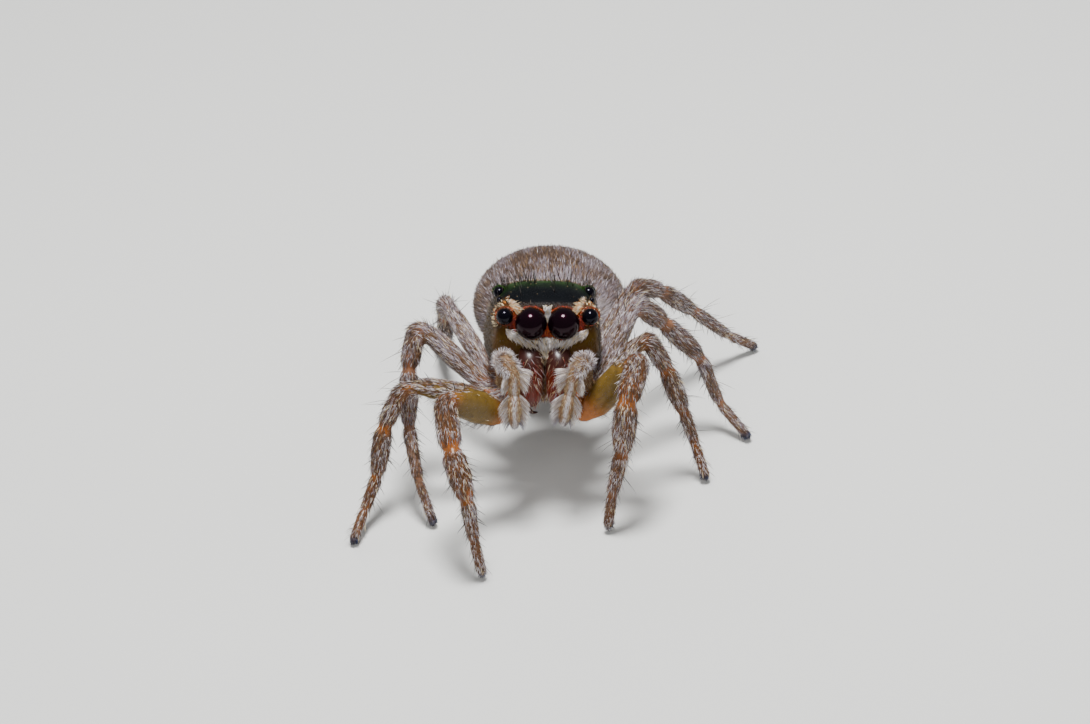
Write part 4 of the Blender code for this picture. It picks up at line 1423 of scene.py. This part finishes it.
def front_coat(skin, numbers, mat, crown_mat):
    """Coat of the front body: rear hair, crown scales and a cream patch beside each side eye."""
    rng = np.random.default_rng(SEEDS["front"])
    point, normal, _, _ = skin.sample(rng, numbers, FRONT_SCALES)
    place = to_body(point)
    crown, rear = front_regions(place)
    side, forward, up = place.T
    flank = (1 - step_at(forward, -0.62, 0.12)) * (1 - crown) * (1 - rear)
    face = step_at(forward, FACE_REAR, 0.05)
    keep = np.clip(rear * 0.95 + flank * 0.45 + 0.35 * crown + 0.03, 0, 1) * (1 - face)
    beside_eye = 1 - step_at(np.hypot((forward + 0.55) / 0.36, (up - 0.12) / 0.32), 0.9, 0.15)
    cheek = beside_eye * (np.abs(side) > 1.0) * (1 - crown)
    keep = np.maximum(keep, 0.75 * cheek)
    kept = rng.uniform(size=len(side)) < keep
    point, normal, crown, rear = only(kept, point, normal, crown, rear)
    forward, up, cheek = only(kept, forward, up, cheek)
    count = len(point)
    origin = np.array(body_point(0, -SHIELD_LENGTH / 2, -0.3))
    rearward = np.tile(np.array(BODY @ Vector((0, 1, -0.1))), (count, 1))
    top = crown > 0.5
    tint = pick_colours(rng, (SILVER, LILAC, TAN_HAIR, BROWN, STRAW), (0.26, 0.26, 0.22, 0.16, 0.10), count)
    # Hair darker everywhere but the upper rear: dark flank hair with painted shade.
    tint = mix(tint, FLANK_HAIR_AND_SHADE, 0.85 * (1 - rear * step_at(up, 0.0, 0.15)))
    light = pick_colours(rng, (CREAM, STRAW, GOLD, BROWN), (0.38, 0.26, 0.12, 0.24), count)
    tint = np.where((cheek > 0.3)[:, None], light, tint)
    heading = lying(rearward, normal, rng.normal(15, 5, count).clip(5, 40), rng.normal(0, 14, count))
    length, width = rng.uniform(0.12, 0.24, count), rng.uniform(0.016, 0.026, count)
    place = wrap_map(point, origin, SHIELD_LENGTH)
    coat = Coat("coat_front_body")
    coat.scales(*only(~top, point - normal * BODY_SINK, heading, normal, length, width, tint, place))
    coat.finish(mat, "shield")
    # Crown scales toward the rear: dark green with a painted green sheen.
    green_and_sheen = step_at(-forward, GREEN_AND_SHEEN_FROM, 0.12) * rng.uniform(0.3, 1.0, count)
    tint = mix(CROWN_SCALE, GREEN_SCALE_AND_SHEEN, green_and_sheen)
    # Pale specks on the crown: a few tiny pale hairs and painted glints of light.
    speck_and_glint = rng.uniform(size=count) < 0.020
    tint = np.where(speck_and_glint[:, None], STRAW, tint)
    heading = lying(rearward, normal, np.full(count, 7.0), rng.normal(0, 14, count))
    length, width = rng.uniform(0.05, 0.09, count), rng.uniform(0.012, 0.018, count)
    crown_scales = Coat("coat_crown")
    crown_scales.scales(*only(top, point - normal * BODY_SINK, heading, normal, length, width, tint, place))
    crown_scales.finish(crown_mat, "shield")


def under_coat(skin, numbers, mat):
    """Short brown hair on the underside, the waist and the spinnerets."""
    rng = np.random.default_rng(SEEDS["under"])
    coat = Coat("coat_under")
    point, normal, _, _ = skin.sample(rng, numbers, UNDER_SCALES)
    count = len(point)
    tint = pick_colours(rng, (GREY_BROWN, TAN_HAIR, LILAC, BROWN), (0.3, 0.3, 0.2, 0.2), count)
    rearward = np.tile((0.0, 1.0, -0.1), (count, 1))
    heading = lying(rearward, normal, rng.normal(16, 5, count).clip(5, 40), rng.normal(0, 15, count))
    coat.scales(point - normal * BODY_SINK, heading, normal, rng.uniform(0.10, 0.20, count),
                rng.uniform(0.014, 0.024, count), tint, wrap_map(point, np.array((0, 2.0, 2.5)), 8.0))
    coat.finish(mat, "underside")


# ----------------------------------------------------------------------- face

class Face:
    """Front of the head as seen from ahead, for placing its scales."""

    def __init__(self, tree, name):
        self.tree = tree
        self.ahead = np.array(BODY @ Vector((0, -1, 0)))
        self.coat = Coat(name)
        self.rng = np.random.default_rng(SEEDS["face"])

    def roots(self, side, up):
        """Places on the skin straight behind (side, up), with their normals."""
        starts = to_world(np.stack([side, np.full(len(side), 2.0), up], axis=1))
        points, normals, kept = [], [], []
        for number, start in enumerate(starts):
            hit, normal, _, _ = self.tree.ray_cast(Vector(start), Vector(-self.ahead), 4.0)
            if hit is None:
                continue
            points.append(hit)
            normals.append(normal)
            kept.append(number)
        return np.array(points), np.array(normals), np.array(kept)

    def scales(self, side, up, toward, length, width, tint, lift=14, swing=10, long=False):
        """Scales at (side, up) that point toward a (side, up) direction."""
        clear = np.ones(len(side), dtype=bool)
        for out, _, height, radius in list(EYES.values())[:2]:
            for sign in SIDES.values():
                clear &= np.hypot(side - sign * out, up - height) > radius * 0.98
        side, up, toward, length, width, tint = only(clear, side, up, toward, length, width, tint)
        point, normal, kept = self.roots(side, up)
        near = to_body(point)[:, 1] > -0.85
        point, normal, kept = only(near, point, normal, kept)
        toward = np.stack([toward[:, 0], np.zeros(len(toward)), toward[:, 1]], axis=1)[kept]
        tangent = (toward * np.array((1, -1, 1))) @ BODY_ARRAY.T
        count = len(kept)
        rng = self.rng
        heading = lying(tangent, normal, rng.normal(lift, 5, count).clip(3, 60), rng.normal(0, swing, count))
        place = np.stack([0.5 + side[kept] / 3.2, 0.5 + up[kept] / 3.2], axis=1)
        if long:
            curl = -normal * 0.08
            self.coat.hairs(point - normal * ROOT_SINK, heading, normal, curl, length[kept], width[kept],
                            tint[kept], place)
        else:
            self.coat.scales(point - normal * BODY_SINK, heading, normal, length[kept], width[kept],
                             tint[kept], place)

    def patch(self, count, corners, toward, size, thick, palette, shares, lift=14, swing=12, long=False):
        """Scales over a four-sided patch, on both sides of the head."""
        rng = self.rng
        a, b, c, d = (np.array(corner) for corner in corners)
        for sign in (-1.0, 1.0):
            s, t = rng.uniform(size=(2, count))[:, :, None]
            spot = (a * (1 - s) + b * s) * (1 - t) + (d * (1 - s) + c * s) * t
            aim = np.tile(toward, (count, 1)) * np.array((sign, 1))
            tint = pick_colours(rng, palette, shares, count)
            self.scales(spot[:, 0] * sign, spot[:, 1], aim, rng.uniform(0.7, 1.2, count) * size,
                        rng.uniform(0.8, 1.2, count) * thick, tint, lift, swing, long)


def face_coat(skin, mat):
    """Scales and hairs of the face."""
    face = Face(BVHTree.FromPolygons(skin.points.tolist(), skin.triangles.tolist()), "coat_face")
    eye_rims(face)
    # Rusty ground between the front eyes and beside them.
    face.patch(130, ((0.78, -0.24), (0.94, -0.12), (0.92, 0.14), (0.78, 0.22)), (0.3, -1.0), 0.09, 0.018,
               (DEEP_RUST, RUST), (0.6, 0.4))
    face.patch(300, ((0.86, 0.34), (1.34, -0.08), (1.36, 0.40), (0.90, 0.44)), (-0.5, -1.0), 0.08, 0.016,
               (GOLD, RUST, BROWN, CREAM), (0.15, 0.20, 0.50, 0.15))
    # Cream patches above and outside the side eyes.
    face.patch(330, ((0.66, 0.24), (0.84, 0.30), (1.10, 0.50), (0.80, 0.46)), (-0.75, -0.65), 0.18, 0.017,
               (CREAM, STRAW, WHITE, GOLD), (0.42, 0.16, 0.12, 0.30), 16, 12)
    # Dark ground along the crown's lower edge.
    face.patch(420, ((0.00, 0.36), (0.66, 0.30), (0.80, 0.46), (0.00, 0.48)), (0.2, 1.0), 0.06, 0.014,
               (CROWN_BLACK, CROWN_EDGE), (0.7, 0.3), 10, 30)
    wedges(face)
    clypeus(face)
    face.patch(50, ((0.95, -0.75), (1.30, -1.00), (1.32, -0.35), (1.10, -0.40)), (-0.2, -1.0), 0.10, 0.009,
               (BROWN, DARK), (0.5, 0.5), 12, 25)
    face.coat.finish(mat, "shield")


def jaw_coat(jaws, mat):
    """Fine pale hairs down the fronts of the jaws."""
    points, faces = [], []
    for jaw in jaws:
        start = len(points)
        points += [vertex.co / MM for vertex in jaw.data.vertices]
        faces += [[start + corner for corner in polygon.vertices] for polygon in jaw.data.polygons]
    face = Face(BVHTree.FromPolygons(points, faces), "coat_jaws")
    rng = face.rng
    for count, size, thick, palette, shares in ((250, 0.20, 0.010, (BROWN, RUST, TAN_HAIR), (0.4, 0.3, 0.3)),
                                                (80, 0.30, 0.011, (STRAW, SILVER), (0.5, 0.5))):
        side = rng.choice((-1.0, 1.0), count) * rng.uniform(0.06, 0.66, count)
        up = rng.uniform(-2.05, -0.80, count)
        inward = np.stack([-np.sign(side) * rng.uniform(0.0, 0.5, count), np.full(count, -1.0)], axis=1)
        face.scales(side + JAW_SHIFT, up, inward, rng.uniform(0.6, 1.2, count) * size,
                    rng.uniform(0.8, 1.2, count) * thick, pick_colours(rng, palette, shares, count),
                    26, 16, long=True)
    face.coat.finish(mat, "jaw")


def eye_rims(face):
    """Rings of short rusty scales round the front eyes."""
    rng = face.rng
    for name, count, inner, outer, size in (("eye_front_middle", 640, 1.02, 1.08, 0.048),
                                            ("eye_front_side", 200, 1.03, 1.18, 0.045)):
        out, _, height, radius = EYES[name]
        for sign in SIDES.values():
            angle = rng.uniform(0, 2 * math.pi, count)
            spread = radius * rng.uniform(inner, outer, count)
            side = sign * out + spread * np.cos(angle)
            up = height + spread * np.sin(angle)
            toward = np.stack([np.cos(angle) * 0.6 - np.sin(angle) * 0.8,
                               np.sin(angle) * 0.6 + np.cos(angle) * 0.8], axis=1)
            tint = pick_colours(rng, (RIM_DARK, RUST, RIM_BRIGHT), (0.33, 0.33, 0.34), count)
            face.scales(side, up, toward, rng.uniform(0.7, 1.1, count) * size,
                        rng.uniform(0.012, 0.018, count), tint, 14, 14)


def wedges(face):
    """White wedge above and rusty wedge below the point where the large eyes meet."""
    rng = face.rng
    count = 300
    share = rng.uniform(size=count)
    up = 0.10 + 0.36 * share
    side = rng.uniform(-1, 1, count) * (0.012 + 0.14 * share)
    toward = np.stack([-3.0 * side, np.full(count, -1.0)], axis=1)
    tint = pick_colours(rng, (WHITE, CREAM), (0.7, 0.3), count)
    face.scales(side, up, toward, rng.uniform(0.09, 0.15, count), rng.uniform(0.016, 0.024, count),
                tint, 20, 10)
    share = rng.uniform(size=count)
    up = 0.06 - 0.38 * share
    side = rng.uniform(-1, 1, count) * (0.02 + 0.09 * share)
    toward = np.stack([side * 3, np.full(count, -1.0)], axis=1)
    tint = pick_colours(rng, (RUST, GOLD, ORANGE), (0.7, 0.1, 0.2), count)
    face.scales(side, up, toward, rng.uniform(0.07, 0.11, count), rng.uniform(0.014, 0.02, count),
                tint, 18, 14)


def clypeus(face):
    """Dense white band under the large eyes, running down to the middle."""
    rng = face.rng
    for count, size, thick, spread, lift in ((2600, 0.15, 0.022, 14, 14), (1500, 0.25, 0.017, 12, 22)):
        out = rng.uniform(-1, 1, count)
        share = np.abs(out)
        upper = -0.34 + 0.20 * share ** 2
        lower = -0.76 + 0.50 * share ** 0.9
        up = lower + (upper - lower) * rng.uniform(size=count)
        side = out * 1.06
        toward = np.stack([-np.sign(out) * (0.10 + 0.80 * share), -1.0 + 0.35 * share], axis=1)
        tint = pick_colours(rng, (WHITE, CREAM, BAND_WHITE, STRAW, BROWN),
                            (0.36, 0.18, 0.28, 0.12, 0.06), count)
        face.scales(side, up, toward, rng.uniform(0.8, 1.25, count) * size,
                    rng.uniform(0.8, 1.2, count) * thick, tint, lift, spread)
    count = 150
    out = rng.uniform(-1, 1, count)
    side = out * 0.70
    up = -0.66 + 0.22 * np.abs(out) + rng.uniform(-0.05, 0.05, count)
    toward = np.stack([-side * 1.1 + rng.normal(0, 0.10, count), np.full(count, -0.62)], axis=1)
    tint = pick_colours(rng, (CREAM, WHITE), (0.75, 0.25), count)
    face.scales(side, up, toward, rng.uniform(0.32, 0.60, count), rng.uniform(0.011, 0.016, count), tint,
                24, 7, long=True)


def head_bristles(skin, numbers, mat):
    """Thin black bristles round the rear of the crown and beside the eyes."""
    rng = np.random.default_rng(SEEDS["bristles"])
    coat = Coat("bristles_head")
    point, normal, _, _ = skin.sample(rng, numbers, 9000)
    place = to_body(point)
    side, forward, up = place.T
    ridge = (np.abs(forward + 1.65) < 0.40) & (up > 0.35)
    beside = (np.abs(side) > 1.12) & (forward < -0.4) & (forward > -1.9) & (up > 0.05)
    on_crown = (up > 0.55) & (forward > -1.6)
    share = rng.uniform(size=len(side))
    kept = (ridge & (share < 0.19)) | (beside & (share < 0.05)) | (on_crown & (share < 0.006))
    point, normal = only(kept, point, normal)
    count = len(point)
    upward = np.tile(np.array(BODY @ Vector((0, 0.55, 0.75))), (count, 1))
    heading = unit(normal * 0.25 + upward + rng.normal(0, 0.24, (count, 3)))
    curl = unit(rng.normal(0, 1, (count, 3))) * 0.16
    tint = pick_colours(rng, (DARK, BRISTLE_BLACK), (0.5, 0.5), count)
    origin = np.array(body_point(0, -SHIELD_LENGTH / 2, -0.3))
    coat.hairs(point, heading, normal, curl, rng.uniform(0.24, 0.44, count), rng.uniform(0.015, 0.020, count),
               tint, wrap_map(point, origin, SHIELD_LENGTH))
    coat.finish(mat, "shield")


# ------------------------------------------------------------- set and camera

CAMERA_DROP = 31.0              # degrees that the camera looks down
CAMERA_ROLL = 6.0
CAMERA_DISTANCE = 120.0
SENSOR = 36.0
VIEW_WIDTH = 27.25              # width of the view at the eyes
EYES_ACROSS = 0.0024            # eyes right of the view's middle, as a share of its width
EYES_ABOVE = 0.0351             # and above it
FLOOR_HALF = 0.6                # metres
LAMP_AIM = Vector((0, 0, 3))
LAMPS = {                       # place and size in millimetres, watts, seen in reflections
    "overhead": ((2, -2, 85), 25, 0.155, True),
    "front": ((-30, -120, 95), 80, 0.070, False),
    "side": ((110, -10, 50), 80, 0.035, False),
    "rear": ((-40, 110, 60), 80, 0.050, False),
}
SURROUND_STRENGTH = 0.24


def add_camera():
    """Camera looking at the eyes from ahead and above."""
    drop, roll = math.radians(CAMERA_DROP), math.radians(CAMERA_ROLL)
    ahead = Vector((0, math.cos(drop), -math.sin(drop)))
    level = Vector((1, 0, 0))
    rise = Vector((0, math.sin(drop), math.cos(drop)))
    right = level * math.cos(roll) - rise * math.sin(roll)
    up = level * math.sin(roll) + rise * math.cos(roll)
    data = bpy.data.cameras.new("camera")
    data.sensor_width = SENSOR
    data.lens = SENSOR * CAMERA_DISTANCE / VIEW_WIDTH
    data.shift_x = -EYES_ACROSS
    data.shift_y = -EYES_ABOVE
    data.clip_start = 0.001
    data.clip_end = 5.0
    camera = bpy.data.objects.new("camera", data)
    bpy.context.scene.collection.objects.link(camera)
    turn = Matrix((right, up, -ahead)).transposed()
    camera.matrix_world = Matrix.Translation((EYE_LINE - ahead * CAMERA_DISTANCE) * MM) @ turn.to_4x4()
    bpy.context.scene.camera = camera


def add_light(name, place, size, power, shown):
    """Soft round lamp that faces the spider, and whether reflections show it."""
    data = bpy.data.lights.new(name, "AREA")
    data.shape = "DISK"
    data.size = size * MM
    data.energy = power
    lamp = bpy.data.objects.new(name, data)
    bpy.context.scene.collection.objects.link(lamp)
    lamp.location = Vector(place) * MM
    lamp.visible_glossy = shown
    lamp.rotation_mode = "QUATERNION"
    lamp.rotation_quaternion = (LAMP_AIM - Vector(place)).to_track_quat("-Z", "Y")


def add_set():
    """Pale floor, soft lamps and a pale surround."""
    mesh = bpy.data.meshes.new("floor")
    corners = [(-FLOOR_HALF, -FLOOR_HALF, 0), (FLOOR_HALF, -FLOOR_HALF, 0),
               (FLOOR_HALF, FLOOR_HALF, 0), (-FLOOR_HALF, FLOOR_HALF, 0)]
    mesh.from_pydata(corners, [], [(0, 1, 2, 3)])
    mat, tree, shader = new_material("floor")
    group = add_variation(tree, FLOOR_GREY, *FLOOR_GRAIN)
    tree.links.new(group.outputs["Colour"], shader.inputs["Base Color"])
    shader.inputs["Roughness"].default_value = 0.9
    mesh.materials.append(mat)
    floor = bpy.data.objects.new("floor", mesh)
    bpy.context.scene.collection.objects.link(floor)
    for name, lamp in LAMPS.items():
        add_light(name, *lamp)
    world = bpy.data.worlds.new("surround")
    world.use_nodes = True
    background = world.node_tree.nodes["Background"]
    set_finish(background, {"Color": (*SURROUND_GREY, 1), "Strength": SURROUND_STRENGTH})
    bpy.context.scene.world = world


def dress():
    """Make every piece of the spider."""
    add_camera()
    add_set()
    parts = flesh_parts()
    skin = Skin(parts)
    kinds = [part.kind for part in parts]
    numbers = {kind: [k for k, name in enumerate(kinds) if name == kind] for kind in set(kinds)}
    soft = hair_material("hair", 0.50, 0.35)
    silky = hair_material("silky_hair", 0.38, 0.6)
    dark = hair_material("dark_bristle", 0.30, 0.5)
    add_eyes()
    jaws = add_jaws()
    jaw_coat(jaws, silky)
    for number in numbers["leg"]:
        leg_coat(skin, number, parts[number], silky)
    for number in numbers["palp"]:
        palp_coat(skin, number, parts[number], soft)
    hind_coat(skin, numbers["hind"], soft)
    body_hair = hair_material("body_hair", 0.55, 0.15)
    crown_scale = hair_material("crown_scale", 0.40, 0.05)
    front_coat(skin, numbers["front"], body_hair, crown_scale)
    under_coat(skin, numbers["under"] + numbers["waist"] + numbers["spinneret"], soft)
    face_coat(skin, silky)
    head_bristles(skin, numbers["front"], dark)
    add_skin(skin)


dress()
